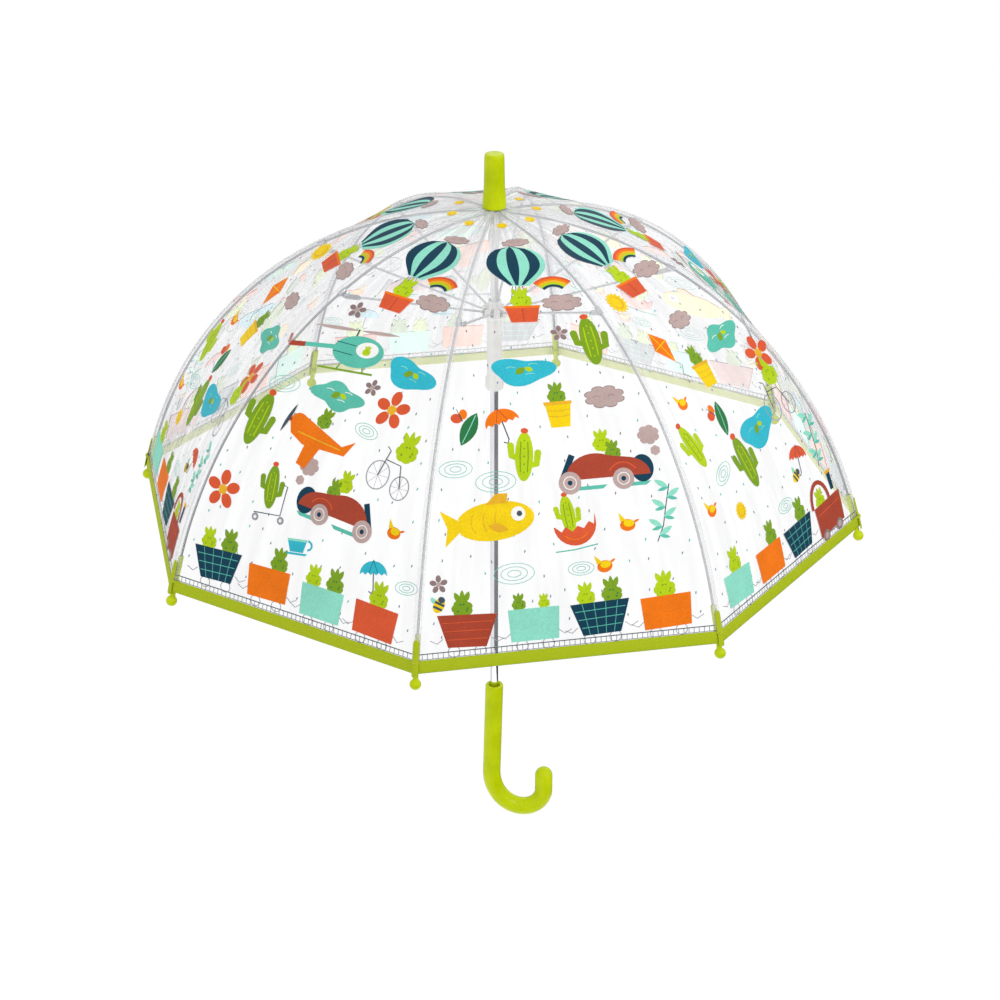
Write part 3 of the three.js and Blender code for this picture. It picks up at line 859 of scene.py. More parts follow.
def leaf_and_butterfly():
    return [("fern", lens(-7, -17, 6, 12, 13)), ("mint", stroke([(-6, -15), (0, -2), (5, 10)], 0.7)),
            ("coral", oval(-11, 6, 5, 4.2, 12)), ("orange", oval(-5.5, 10, 3.4, 4.4, 12)),
            ("slate", stroke([(-9, 10), (-6, 4)], 1)), ("slate", stroke([(-9, 10), (-11, 14)], 0.5))]


def bucket():
    shapes = sprout(0, 12, 8, "leaf")
    shapes += [("yellow", slab(0, -4, 22, 16, 22)), ("gold", slab(0, 6, 24, 23, 3))]
    shapes += [("gold", stroke([(-9.5, y), (0, y - 1), (9.5, y)], 0.7)) for y in (0, -5)]
    return shapes


def parasol(ink="orange", size=1.0):
    points = arc(0, 0, 15, 13, 0, 180, 14)
    points += [(-15 + 6 * (i + 0.5), 2.4) if j else (-15 + 6 * (i + 1), 0)
               for i in range(5) for j in (1, 0)][:-1]
    shapes = [("slate", stroke([(0, 14), (0, -14), (-2, -17), (-5, -15)], 1)), (ink, points)]
    shapes += [("brick" if ink == "orange" else "teal", stroke([(0, 13), (x, 2)], 0.5)) for x in (-5, 5)]
    return scaled(shapes, size)


def cart(mirror=1):
    """A rounded toy car with two flower pots riding in it."""
    body = [(-34, -8)] + arc(-10, -8, 24, 20, 165, 60, 10) + arc(14, -8, 20, 15, 78, 0, 9)
    shapes = [("sea", slab(-16, -15, 30, 22, 3)), ("sea", slab(22, -15, 24, 16, 3)),
              ("teal", oval(28, -3, 9, 11)), ("teal", stroke([(-36, -6), (-27, 12)], 5))]
    shapes += sprout(-2, 19, 7.5)
    shapes += sprout(6, 11, 6.5, "leaf")
    shapes += [("brick", body), ("coral", stroke(arc(12, -9, 12, 12, 30, 150, 9), 0.9))]
    for x, radius in ((-31, 9), (12, 8.5)):
        for ink, share in (("mauve", 1), ("white", 0.6), ("mauve", 0.52)):
            shapes.append((ink, oval(x, -10, radius * share, radius * share)))
        shapes.append(("teal", oval(x, -10, 2, 2, 8)))
    shapes += [("mauve", scallops(36, 23, 9, 8, 7)), ("mauve", scallops(40, 10, 4, 4, 6))]
    return scaled(shapes, 1.05, mirror)


def fish():
    """A yellow fish."""
    body = arc(2, 0, 33, 16, 155, -155, 26)
    shapes = [("yellow", [(-27, 4), (-42, 15), (-38, 0), (-42, -15), (-27, -4)]), ("yellow", body),
              ("gold", [(-4, 14), (6, 22), (16, 21), (14, 13)]), ("gold", lens(-4, -3, 12, -9, 7)),
              ("white", oval(22, 3, 6, 6, 14)), ("slate", oval(23, 3, 2.4, 2.4, 10))]
    shapes += [("gold", stroke(arc(x, 0, 4, 8, 110, 250, 7), 0.8)) for x in (-14, -4, 6)]
    return shapes


def shell_boat():
    """Half a shell for a boat, with a cactus in it."""
    rim = [(-17, 2), (-12, -3), (-8, 1), (-3, -4), (2, 0), (7, -3), (12, 2), (16, -1), (18, 8)]
    shapes = moved(cactus(0.75, "lime"), -4, 10)
    return shapes + [("coral", rim + arc(0, 2, 18, 18, 0, -180)),
                     ("orange", stroke(arc(0, 2, 13, 13, -40, -140, 8), 0.8)),
                     ("sea", stroke([(-20, -18), (-4, -19), (16, -18)], 1))]


def chick():
    """A small floating bird."""
    return [("orange", oval(0, 0, 6.5, 5)), ("yellow", [(-6, 3), (-7, 11), (-1, 4)]),
            ("yellow", oval(1, 1.5, 4.5, 3)), ("orange", lens(5, 2, 10, 4, 2))]


def sprig():
    stem = [(-10, -25), (-4, -12), (-1, 2), (4, 22)]
    shapes = [("slate", stroke(stem, 0.8))]
    for x, y, side in ((-8, -20, 1), (-5, -13, -1), (-3, -5, 1), (-1, 3, -1), (1, 11, 1), (3, 19, -1)):
        shapes.append(("mint", lens(x, y, x + side * 11, y + 7, 4.5)))
        shapes.append(("sea", lens(x, y, x + side * 9, y - 2, 3)))
    return shapes


def bee():
    return [("mint", lens(0, 2, 3, 9, 4)), ("yellow", oval(0, 0, 6.5, 4.6, 16)),
            ("slate", slab(-2.6, 0, 2, 2, 8)), ("slate", slab(1.4, 0, 2, 2, 8.6)),
            ("slate", oval(5, 0, 2.6, 3, 10))]


def ripple(width):
    """Rings spreading on water."""
    shapes = []
    for share in (1, 0.66, 0.33):
        shapes += ring("sea", 0, 0, width / 2 * share, width / 4 * share, 0.45, 20)
    return shapes


def aeroplane():
    """A toy aeroplane."""
    hull = arc(-24, 4, 9, 9, 180, 90, 5) + [(26, 5), (36, 14), (32, -1), (-10, -10), (-26, -6)]
    shapes = sprout(-2, 16, 7.5, "leaf")
    shapes += [("orange", hull), ("orange", [(-8, -4), (8, -3), (3, -27), (-7, -26)]),
               ("gold", stroke([(-20, -2), (6, 0), (26, 2)], 1)), ("brick", oval(-33, 4, 2, 2, 8)),
               ("slate", lens(-36, -10, -34, 18, 3.4))]
    return shapes


def helicopter():
    """A toy helicopter."""
    shapes = [("mauve", lens(-44, 17, 2, 20, 3.4)), ("mauve", lens(2, 20, 40, 22, 3.4)),
              ("slate", stroke([(0, 14), (0, 21)], 1.4)), ("sea", stroke([(-46, -3), (-12, 1)], 4)),
              ("brick", stroke([(-60, -5), (-44, -3)], 4.5)), ("brick", stroke([(-60, -5), (-60, 4)], 2.4)),
              ("sea", oval(8, 0, 25, 15, 28)), ("white", oval(16, 3, 11, 7.5, 18)),
              ("leaf", stroke([(-24, -20), (30, -18)], 1.8)), ("leaf", stroke([(-4, -14), (-6, -19)], 1.2)),
              ("leaf", stroke([(18, -13), (20, -18)], 1.2))]
    shapes += sprout(16, 1, 4)
    shapes += [("teal", stroke([(-16, y), (4, y - 1)], 0.6)) for y in (6, -3)]
    return shapes


def tricycle():
    """A thin-wired tricycle with a bush for a rider."""
    shapes = []
    for x, y, radius in ((-13, -8, 11), (11, -14, 9)):
        shapes += ring("line", x, y, radius, radius * 1.1, 0.9)
        for i in range(4):
            dx, dy = radius * math.cos(i * 0.79), radius * 1.1 * math.sin(i * 0.79)
            shapes.append(("line", stroke([(x - dx, y - dy), (x + dx, y + dy)], 0.3)))
    shapes += [("slate", stroke([(-13, -8), (-8, 14), (-12, 17)], 0.9)),
               ("slate", stroke([(-9, 6), (6, 4), (11, -14)], 0.9))]
    return shapes + sprout(7, 16, 11)


def scooter():
    """A cactus on a scooter."""
    shapes = moved(cactus(0.85), 0, 6)
    shapes += [("slate", stroke([(-14, -17), (13, -17), (16, 8), (12, 9)], 0.9))]
    for x in (-12, 14):
        shapes += [("line", oval(x, -21, 3.4, 3.4, 12)), ("white", oval(x, -21, 1.6, 1.6, 8))]
    return shapes


def cup(ink="pool"):
    return [(ink, slab(0, 0, 20, 13, 11)), (ink, stroke(arc(10, 1, 5, 4, -80, 80, 7), 1.8)),
            ("mint", slab(0, 4.6, 20, 19, 2)), (ink, slab(0, -7, 22, 18, 1.8))]


def kite(ink="coral"):
    return [(ink, [(0, 17), (-11, 2), (0, -17), (11, 2)]), ("yellow", stroke([(0, 16), (0, -16)], 0.8)),
            ("yellow", stroke([(-10, 2), (10, 2)], 0.8)),
            ("slate", stroke([(0, -17), (4, -23), (-3, -29), (2, -36)], 0.6))]


def wagon(ink, shape, load):
    """A rail wagon: a tub or a box, with its load, wheels and couplings."""
    pale = {"brick": "coral", "teal": "sea", "mint": "white", "orange": "gold", "coral": "orange"}[ink]
    top, bottom = (50, 32) if shape == "tub" else (43, 40)
    shapes = []
    for x in (-11, 11):
        shapes += ring("line", x, -17, 5, 4.6, 0.6, 16)
    for side in (-1, 1):
        shapes.append(("line", stroke([(side * 20, -6), (side * 25, -10), (side * 31, -7)], 0.6)))
    for x, size, green in load:
        shapes += sprout(x, 14.5 + size * 0.45, size, green)
    shapes.append((ink, slab(0, 0, top, bottom, 27)))
    if shape == "tub":
        for y in (7, 0, -7):
            reach = (top - (13.5 - y) / 27 * (top - bottom)) / 2 - 1.5
            shapes.append((pale, stroke([(-reach, y), (reach, y + 0.6)], 0.6)))
        if ink == "teal":
            shapes += [(pale, stroke([(x, 13), (x * 0.68, -13)], 0.5)) for x in (-15, -5, 5, 15)]
    return shapes


def engine():
    """The engine that heads the train: a cab with an arched window and a funnel."""
    shapes = sprout(-10, 14, 8)
    shapes += [("brick", stroke(arc(-10, 12, 15, 20, 0, 180, 14), 4)), ("teal", slab(14, 24, 6, 5, 16)),
               ("gold", slab(14, 33, 10, 8, 3)), ("brick", slab(0, -2, 46, 44, 28)),
               ("coral", stroke([(-20, 4), (20, 4.5)], 0.8))]
    for x in (-13, 12):
        shapes += [("plum", oval(x, -17, 6, 5.4, 16)), ("mauve", oval(x, -17, 3.4, 3, 12))]
    return shapes


TWO = [(-11, 8, "lime"), (11, 9, "leaf")]
ONE = [(0, 9.5, "lime")]
SIDE = [(9, 9, "leaf")]
SMALL = [(-12, 6, "leaf"), (9, 5, "lime")]

# What every gore carries near the crown, as (shapes, millimetres down the gore, across, turn in degrees).
CROWN_PRINT = [
    (sun(0.42), 38, -1, 0), (cloud(24, 10), 67, 5, 4), (balloon(), 98, -3, -3), (rainbow(), 137, 25, 12),
    (cloud(34, 17), 145, 30, -4),
]
PRINTS = {
    "pond": [
        (flower("plum", "mauve", 0.45), 176, 22, 0), (cactus(1.05), 186, 47, 4),
        (puddle(48, 26), 209, -15, 0), (leaf_and_butterfly(), 254, -66, -8),
        (parasol("orange"), 254, -38, 14), (bucket(), 246, 10, 0), (cloud(34, 19), 238, 50, 0),
        (cactus(0.95, "lime"), 283, -24, -8), (cart(), 298, 44, 0), (ripple(28), 289, -82, 0),
        (ripple(34), 302, -50, 0), (fish(), 334, -56, 4), (shell_boat(), 344, 12, 6),
        (chick(), 347, 56, 0), (sprig(), 338, 90, 0), (ripple(34), 378, -42, 0), (ripple(22), 379, 14, 0),
        (flower("plum", "mauve", 0.45), 381, -105, 0), (chick(), 379, 34, 10), (bee(), 398, -106, 60),
        (wagon("brick", "tub", [(-4, 9, "leaf")]), 421, -84, -3),
        (wagon("mint", "box", SMALL), 421, -28, 0), (wagon("teal", "tub", TWO), 421, 28, 2),
        (wagon("orange", "box", ONE), 421, 84, 3),
    ],
    "sky": [
        (flower("plum", "mauve", 0.5), 170, -34, 0), (helicopter(), 208, -20, 3),
        (puddle(46, 26), 216, 46, -10), (ripple(30), 252, -66, 10),
        (puddle(46, 24, "sea", 4), 250, -12, -4), (flower(), 249, 44, 0),
        (flower("plum", "mauve", 0.45), 235, 17, 0), (cactus(1.1), 287, -78, -10),
        (aeroplane(), 290, -16, -12), (tricycle(), 296, 66, 0), (ripple(24), 272, 28, -10),
        (flower(), 353, -92, 0), (scooter(), 345, -44, 6), (cart(-1), 340, 22, -4), (cup(), 380, -6, 8),
        (chick(), 346, 84, 0), (parasol("pool", 0.9), 384, 74, 12), (ripple(22), 386, 108, 10),
        (wagon("teal", "tub", TWO), 417, -83, 3), (wagon("orange", "box", SIDE), 419, -28, 2),
        (wagon("mint", "box", TWO), 421, 28, 0), (wagon("coral", "box", ONE), 421, 83, -2),
    ],
    "garden": [
        (sun(1.0), 158, -38, 0), (kite("orange"), 212, -34, 10), (cloud(30, 16), 200, 12, 0),
        (puddle(44, 26, "sea", 4), 232, 44, 6), (bucket(), 248, -6, -4),
        (leaf_and_butterfly(), 288, -20, 10), (cactus(0.95, "lime"), 296, -76, 12),
        (chick(), 262, -58, 0), (tricycle(), 300, 66, 4), (puddle(50, 30), 316, 20, 12),
        (cactus(1.1), 334, -16, 6), (ripple(28), 330, -54, 20), (flower(), 262, 74, 0),
        (chick(), 350, -90, 0), (sun(0.7), 366, -50, 0), (sprig(), 352, 92, 6), (bee(), 372, 46, 30),
        (parasol("coral", 0.9), 360, 58, -12), (ripple(24), 388, 16, 0),
        (wagon("mint", "box", ONE), 420, -84, -3), (wagon("orange", "box", SIDE), 421, -28, 0),
        (wagon("teal", "tub", SIDE), 421, 26, 2), (engine(), 420, 82, 3),
    ],
}
GORE_PRINTS = ["pond", "sky", "garden", "garden", "sky", "pond", "garden", "sky"]

PRINT_LIFT = 0.06 * MM
PRINT_STEP = 0.035 * MM
DRAWN_LENGTH = 443 * MM
PRINT_CELL = 8 * MM
PRINT_START = 0.03
PRINT_REACH = 0.14
# How far the print's back copy is mixed towards white: painted light, for light coming through the ink.
BACKLIGHT_WHITENING = 0.58
DROPS = 95
DROPS_START, DROPS_END = 130, 425
DROP_EDGE = 9
DROP_CLEARANCE = 15
RAIL_UP = 1.5 * MM
RAIL_GAP = 4.5 * MM
SLEEPER_PITCH = 4.4 * MM
SLEEPER_WIDTH = 0.4 * MM


def scattered_drops(rng, taken):
    """Rain between the motifs: short dashes that keep clear of what is already there."""
    drops = []
    while len(drops) < DROPS:
        s = rng.uniform(DROPS_START, DROPS_END)
        u = rng.uniform(-1, 1) * (float(half_width(s * MM)) / MM - DROP_EDGE)
        if all(math.hypot(s - a, (u - b) * 0.8) > DROP_CLEARANCE for a, b in taken):
            ink = rng.choice(["rain", "rain", "sea", "plum"])
            drops.append(([(ink, lens(0, -1.4, 0.4, 1.6, 1.1, 4))], s, u, rng.uniform(-20, 20)))
            taken.append((s - 6, u + 4))
    return drops


def stacked(shapes):
    """A motif's shapes, each with the lowest layer that puts it over the ones it meets."""
    placed = []
    for ink, points in shapes:
        low, high = np.min(points, axis=0), np.max(points, axis=0)
        under = [depth for _, depth, _, a, b in placed if (a < high).all() and (b > low).all()]
        placed.append((ink, max(under, default=-1) + 1, points, low, high))
    return [(ink, depth, points) for ink, depth, points, _, _ in placed]


def print_layers(design, seed):
    """Every outline of a gore's print: its ink, its layer and its flat points in metres. The motifs' places
    are for a gore DRAWN_LENGTH long, and are spread to suit this one."""
    placed = CROWN_PRINT + PRINTS[design]
    taken = [(s, u) for _, s, u, _ in placed]
    placed = scattered_drops(random.Random(seed), taken) + placed
    layers = []
    for shapes, s, u, turn in placed:
        s *= HEM_TOP_S / DRAWN_LENGTH
        c, d = math.cos(math.radians(turn)), math.sin(math.radians(turn))
        for ink, depth, points in stacked(shapes):
            flat = [((u + x * c - y * d) * MM, (s - x * d - y * c) * MM) for x, y in points]
            layers.append((ink, depth, flat))
    return layers + rail_layers()


def rail_layers():
    """The track above the hem: two rails and their sleepers."""
    layers = []
    rail = HEM_TOP_S - RAIL_UP
    reach = float(half_width(rail)) - MM
    for at, width in ((rail, 0.4 * MM), (rail - RAIL_GAP, 0.75 * MM)):
        layers.append(("slate", 0, stroke([(u, at) for u in np.linspace(-reach, reach, 30)], width)))
    for i in range(int(2 * reach / SLEEPER_PITCH)):
        u0 = -reach + i * SLEEPER_PITCH
        u1, far = u0 + SLEEPER_WIDTH, rail - RAIL_GAP
        layers.append(("slate", 1, [(u0, rail), (u0, far), (u1, far), (u1, rail)]))
    return layers


def flat_print(design, seed):
    """A gore's print, cut along the film's grid: flat points with their layer's height, faces and inks."""
    bm = bmesh.new()
    colour = bm.verts.layers.float_color.new("ink")
    for ink, depth, points in print_layers(design, seed):
        height = PRINT_LIFT + PRINT_STEP * depth
        corners = [bm.verts.new((x, y, height)) for x, y in points]
        for corner in corners:
            corner[colour] = linear(INKS[ink])
        face = bm.faces.new(corners)
        face.normal_update()
        if face.normal.z > 0:
            face.normal_flip()
    bmesh.ops.triangulate(bm, faces=bm.faces, ngon_method="EAR_CLIP")
    cuts = [((0, 1, 0), PRINT_START, HEM_TOP_S), ((1, 0, 0), -PRINT_REACH, PRINT_REACH)]
    for direction, low, high in cuts:
        for i in range(int(low / PRINT_CELL) - 1, int(high / PRINT_CELL) + 2):
            place = tuple(i * PRINT_CELL * d for d in direction)
            everything = bm.verts[:] + bm.edges[:] + bm.faces[:]
            bmesh.ops.bisect_plane(bm, geom=everything, dist=1e-7, plane_co=place, plane_no=direction)
    bm.verts.index_update()
    points = np.array([v.co for v in bm.verts])
    inks = np.array([v[colour] for v in bm.verts])
    faces = [tuple(v.index for v in f.verts) for f in bm.faces]
    bm.free()
    return points, inks, faces


def print_half(number, side, flat):
    """Half of a gore's print: the ink as it looks from outside, and its back seen from inside, painted paler
    as painted light for the light that comes through the ink.
    """
    points, inks, faces = flat
    kept = [f for f in faces if side * np.mean([points[i][0] for i in f]) > 0]
    used = sorted(set(i for f in kept for i in f))
    place = {old: new for new, old in enumerate(used)}
    front = [tuple(place[i] for i in f) for f in kept]
    count = len(used)
    back = [tuple(count + i for i in reversed(f)) for f in front]
    u = np.tile(points[used, 0], 2)
    s = np.tile(points[used, 1], 2)
    height = points[used, 2]
    lift = np.concatenate([height, -FILM - height])
    ink = inks[used]
    # Painted light: the back copy is mixed towards white, for light coming through the ink.
    pale = ink * (1 - BACKLIGHT_WHITENING) + BACKLIGHT_WHITENING
    made = cloth_piece("print", number, side, s, u, lift, front + back, "ink")
    store(made.data, "ink", np.concatenate([ink, pale]), "FLOAT_COLOR")
    return made


def canopy():
    """Every gore's film, seam, hem and print, in halves."""
    flat_prints = {}
    for number in range(1, RIBS + 1):
        design = GORE_PRINTS[number - 1]
        if design not in flat_prints:
            flat_prints[design] = flat_print(design, seed=len(flat_prints) + 3)
        for side in (-1, 1):
            film = film_half(number, side)
            seam = seam_half(number, side)
            hem = binding_half(number, side)
            ink = print_half(number, side, flat_prints[design])
            if side < 0:
                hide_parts(f"canopy_panel_{number}")
            else:
                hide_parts(f"rim_binding_{number}")


# ---- Handle, ferrule, shaft, crown notch and runner ----

GRIP_RADIUS = 8.5
GRIP_TOP = 44
GRIP_LEAN = 2.6
CROOK_START = -54
CROOK_LOW = -94.5
CROOK_LOW_X = 29.4
CROOK_END_RADIUS = 19
CROOK_END = -59
SHAFT_RADIUS = 3.5
SHAFT_WALL = 0.6
CATCH_REACH = 11 * MM


def height_of(node):
    """The lowest and highest z of a CAD node, in millimetres."""
    low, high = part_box(node)
    return low.z / MM, high.z / MM


def handle():
    """The crook: a round moulding, with a recessed mouth for the shaft and a round end."""
    foot = height_of("shaft")[0] - 0.3
    down = (-GRIP_LEAN, CROOK_START - GRIP_TOP)
    mouth = [(4, 3.8), (3.6, 4.6), (0.8, 5.3), (0.2, 5.8), (0, 6.4), (0, 7.4), (0.25, 8), (0.7, 8.35),
             (1.4, GRIP_RADIUS)]
    rings = [(0, foot, (0, -1), 0.01), (0, foot, (0, -1), 3.8)]
    rings += [(0, GRIP_TOP - depth, (0, -1), radius) for depth, radius in mouth]
    for t in np.linspace(0.04, 1, 24):
        rings.append((t * down[0], GRIP_TOP + t * down[1], down, GRIP_RADIUS))
    reach, drop = CROOK_LOW_X + GRIP_LEAN, CROOK_START - CROOK_LOW
    for t in np.linspace(math.pi, 1.5 * math.pi, 40)[1:]:
        rings.append((CROOK_LOW_X + reach * math.cos(t), CROOK_START + drop * math.sin(t),
                      (-reach * math.sin(t), drop * math.cos(t)), GRIP_RADIUS))
    r, centre = CROOK_END_RADIUS, CROOK_LOW + CROOK_END_RADIUS
    for t in np.linspace(1.5 * math.pi, 2 * math.pi, 30)[1:]:
        rings.append((CROOK_LOW_X + r * math.cos(t), centre + r * math.sin(t),
                      (-math.sin(t), math.cos(t)), GRIP_RADIUS))
    end_x = CROOK_LOW_X + r
    for z in np.linspace(centre, CROOK_END, 8)[1:]:
        rings.append((end_x, z, (0, 1), GRIP_RADIUS))
    for t in np.linspace(0, math.pi / 2, 12)[1:]:
        rings.append((end_x, CROOK_END + GRIP_RADIUS * math.sin(t), (0, 1),
                      max(GRIP_RADIUS * math.cos(t), 0.01)))
    build = Build()
    sweep(build, [(x * MM, z * MM, d, radius * MM) for x, z, d, radius in rings], "lime", 48)
    settle(build.piece("crook_handle", weld=0.02 * MM), "root", "lime", "handle")


def ferrule():
    """A tapered cap, hollow for the shaft's top."""
    foot, top = height_of("ferrule")
    bore, roof = SHAFT_RADIUS + 0.3, height_of("shaft")[1] + 0.3
    outline = [(bore, foot, 0), (10.3, foot, 0.25), (10.6, foot + 0.8, 0.6), (10.45, foot + 6, 2),
               (9.3, foot + 19, 5), (8.75, top - 2.2, 1.6), (8.1, top - 0.45, 0.9), (5, top, 1.4),
               (0, top, 0), (0, roof, 0), (bore, roof, 0)]
    build = Build()
    lathe(build, rounded(outline, closed=True), "lime", 64, closed=True)
    settle(build.piece("crown_ferrule"), "root", "lime", "ferrule")


def shaft():
    """The tube, with a slot for each catch's nose and a hole for the stop pin."""
    z0, z1 = height_of("shaft")
    inner = SHAFT_RADIUS - SHAFT_WALL
    outline = [(inner, z0, 0.1), (SHAFT_RADIUS, z0, 0.2), (SHAFT_RADIUS, z1, 0.2), (inner, z1, 0.1)]
    build = Build()
    lathe(build, rounded(outline, closed=True, steps=2), "chrome", 64, closed=True)
    piece = build.piece("steel_shaft")
    slots, room = [], 0.3 * MM
    for node in ("open_catch", "closed_catch"):
        a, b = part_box(node)
        foot, top = catch_nose(node)
        slots.append(box_mesh(a.x - room, b.x + room, 0, 2 * b.y, foot - 2 * room, top + 2 * room))
    a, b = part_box("stop_pin")
    slots.append(box_mesh(a.x - MM, b.x + MM, a.y - room, b.y + room, a.z - room, b.z + room))
    cut(piece, slots)
    settle(piece, "root", "chrome", "shaft")


def catch_nose(node):
    """Lowest and highest z of the part of a catch that stands out of the shaft."""
    proud = [v.co.z for v in frame["nodes"][node].data.vertices if v.co.y > SHAFT_RADIUS * MM]
    if node == "open_catch":
        return max(proud) - CATCH_REACH, max(proud)
    return min(proud), min(proud) + CATCH_REACH


def slot_cutters(slot_from, z0, z1):
    """A box at each rib's azimuth, to cut the slots its wires stand in."""
    return [box_mesh(slot_from * MM, 20 * MM, -1.5 * MM, 1.5 * MM, z0 * MM, z1 * MM, azimuth)
            for azimuth in azimuths]


def top_notch():
    """The slotted ring at the crown that the ribs hinge in."""
    foot, top = height_of("top_notch")
    head = top - 10
    bore = SHAFT_RADIUS + 0.3
    outline = [(bore, foot, 0.2), (5.2, foot, 0.3), (5.6, foot + 1, 0.3), (5.6, foot + 12, 0.6),
               (6.4, foot + 14, 0.6), (10, head, 0.5), (10, top - 0.6, 0.3), (9.4, top, 0.3),
               (bore, top, 0.2)]
    build = Build()
    lathe(build, rounded(outline, closed=True), "white", 64, closed=True)
    piece = build.piece("crown_notch")
    cut(piece, slot_cutters(5.4, head - 1.5, top + 2))
    settle(piece, "root", "white", "top_notch")


def runner():
    """The slider: a waisted sleeve with a slotted head and a window for the lower catch."""
    foot, top = height_of("runner")
    pivot = PIVOT_Z / MM
    bore = SHAFT_RADIUS + 0.5
    outline = [(bore, foot, 0.2), (6.4, foot, 0.6), (8.1, foot + 1.6, 1), (8.6, foot + 5, 2),
               (8.4, foot + 11, 2), (6.8, foot + 15, 1.5), (6.8, pivot - 7, 0.8), (11, pivot - 5, 0.8),
               (11.5, pivot - 3.2, 0.5), (11.5, pivot + 2.4, 0.5), (10.6, pivot + 3.6, 0.4),
               (6.4, pivot + 3.6, 0.4), (6, top - 1, 0.4), (5.5, top, 0.3), (bore, top, 0.2)]
    build = Build()
    lathe(build, rounded(outline, closed=True), "white", 64, closed=True)
    piece = build.piece("sliding_runner")
    travel = frame["joints"][0]["range_m"][1]
    z0, z1 = catch_nose("closed_catch")
    window = box_mesh(-2 * MM, 2 * MM, 0, 12 * MM, z0 + travel - 0.5 * MM, z1 + travel + 0.5 * MM)
    cut(piece, slot_cutters(5.9, pivot - 3, pivot + 12) + [window])
    settle(piece, "runner", "white", "runner")


# ---- Ribs, tips, clips and stretchers ----

RIB_RINGS = 70
EYE_RADIUS = 1.32 * MM
EYE_WIRE = 0.45 * MM
BALL_RADIUS = 4.75
BALL_AT = 32.5
STRUT_RADIUS = 1.1 * MM
STRUT_START = 1.6 * MM
BLADE_LENGTH = 16 * MM
BLADE_TAPER = 3 * MM
BLADE_HALF = 2.2 * MM
BLADE_SIDE = 0.7 * MM
RIVET_RADIUS = 1.5 * MM
RIVET_DOME = 0.35 * MM


def rib_angle(radius):
    """The angle at which a rib is so far from the axis."""
    return math.asin(radius / (DOME_RADIUS - RIB_INSET))


def on_rib(angle):
    """Lays a shape built along Z down the rib's line, with its origin at an angle from the crown."""
    x, z = dome_point(RIB_INSET, angle)
    dx, dz = dome_along(angle)
    return Matrix(((dz, 0, dx, x), (0, 1, 0, 0), (-dx, 0, dz, z), (0, 0, 0, 1)))


def eye(build, x, z, finish):
    """The loop at the end of a rib or a strut."""
    hoop(build, (x, 0, z), (0, 1, 0), EYE_RADIUS, EYE_WIRE, finish, 8, 20)


def rib(number):
    """A curved wire, with an eye at the crown."""
    start = rib_angle(RIB_HINGE_RADIUS)
    x, z = dome_point(RIB_INSET, start)
    build = Build()
    rings = [(*dome_point(RIB_INSET, a), dome_along(a), RIB_RADIUS)
             for a in np.linspace(start + 0.004, RIB_END, RIB_RINGS)]
    sweep(build, rings, "rib", 12)
    eye(build, x, z, "rib")
    body = f"rib_{number}"
    settle(build.piece(f"rib_wire_{number}", azimuths[number - 1]), body, "rib", body)


def rib_tip(number):
    """A tip cap: a sleeve over the rib's end, a collar, a waist and a ball, tied to the hem with thread."""
    outline = rounded([(1.5, -9.5, 0), (2.2, -9.5, 0.4), (2.4, -8.3, 0.5), (2.4, 12.5, 0.3), (2.1, 13, 0.2),
                       (2.1, 14, 0.2), (2.4, 14.5, 0.3), (2.95, 16, 0.5), (2.95, 18.5, 0.5),
                       (2.2, 20.5, 0.6), (2.2, 27.6, 0.5), (2.6, BALL_AT - BALL_RADIUS * 0.83, 0)])
    outline += [(BALL_RADIUS * math.sin(a), BALL_AT - BALL_RADIUS * math.cos(a))
                for a in np.linspace(0.62, math.pi - 0.01, 18)]
    build = Build()
    lathe(build, [(1.5, 8)] + outline, "lime", 32)
    for i in range(3):
        hoop(build, (-1.6 * MM, 0, (12.6 + 0.75 * i) * MM), (0, 0, 1), 3.1 * MM, 0.4 * MM, "thread", 6, 24,
             stretch=(1.45, 1))
    piece = build.piece(f"tip_cap_{number}", weld=0.01 * MM)
    piece.data.transform(Matrix.Rotation(azimuths[number - 1], 4, "Z") @ on_rib(TIP_ANGLE))
    settle(piece, f"rib_{number}", "lime", f"rib_tip_{number}")


def tip_pad(number):
    """A pocket of tape that holds the rib's tip at the hem's corner, folded over the seam."""
    section = [(-1, 0), (-0.95, 0.7), (-0.5, 1.25), (0, 1.45), (0.5, 1.25), (0.95, 0.7), (1, 0), (0.5, -0.2),
               (-0.5, -0.2)]
    points = []
    for t in np.linspace(0, 1, PAD_ROWS):
        angle = PAD_TOP + t * (PAD_BOTTOM - PAD_TOP)
        x, z = dome_point(0, angle)
        dx, dz = dome_along(angle)
        round_off = math.sqrt(1 - max(0, 1 - t / PAD_NOSE) ** 2)
        width = PAD_HALF_WIDTH * (0.03 + 0.97 * round_off)
        over_hem = min(1, max(0, t - 0.45) / 0.12)
        rise = 0.45 * MM + 0.75 * MM * over_hem
        for across, out in section:
            fall = 0.42 * abs(across) * PAD_HALF_WIDTH * math.tan(HALF_PITCH)
            lift = rise + out * PAD_THICKNESS - fall
            points.append((x - dz * lift, across * width, z + dx * lift))
    count, last = len(section), len(points)
    ends = [tuple(range(count)), tuple(range(last - count, last))]
    build = Build()
    build.add(points, tube_faces(PAD_ROWS, count) + ends, "tape")
    piece = build.piece(f"tip_pad_{number}", azimuths[number - 1], sharp=50)
    store(piece.data, "cloth", [v.co for v in piece.data.vertices], "FLOAT_VECTOR")
    store(piece.data, "inside", np.zeros(len(piece.data.vertices)))
    settle(piece, f"rib_{number}", "tape")


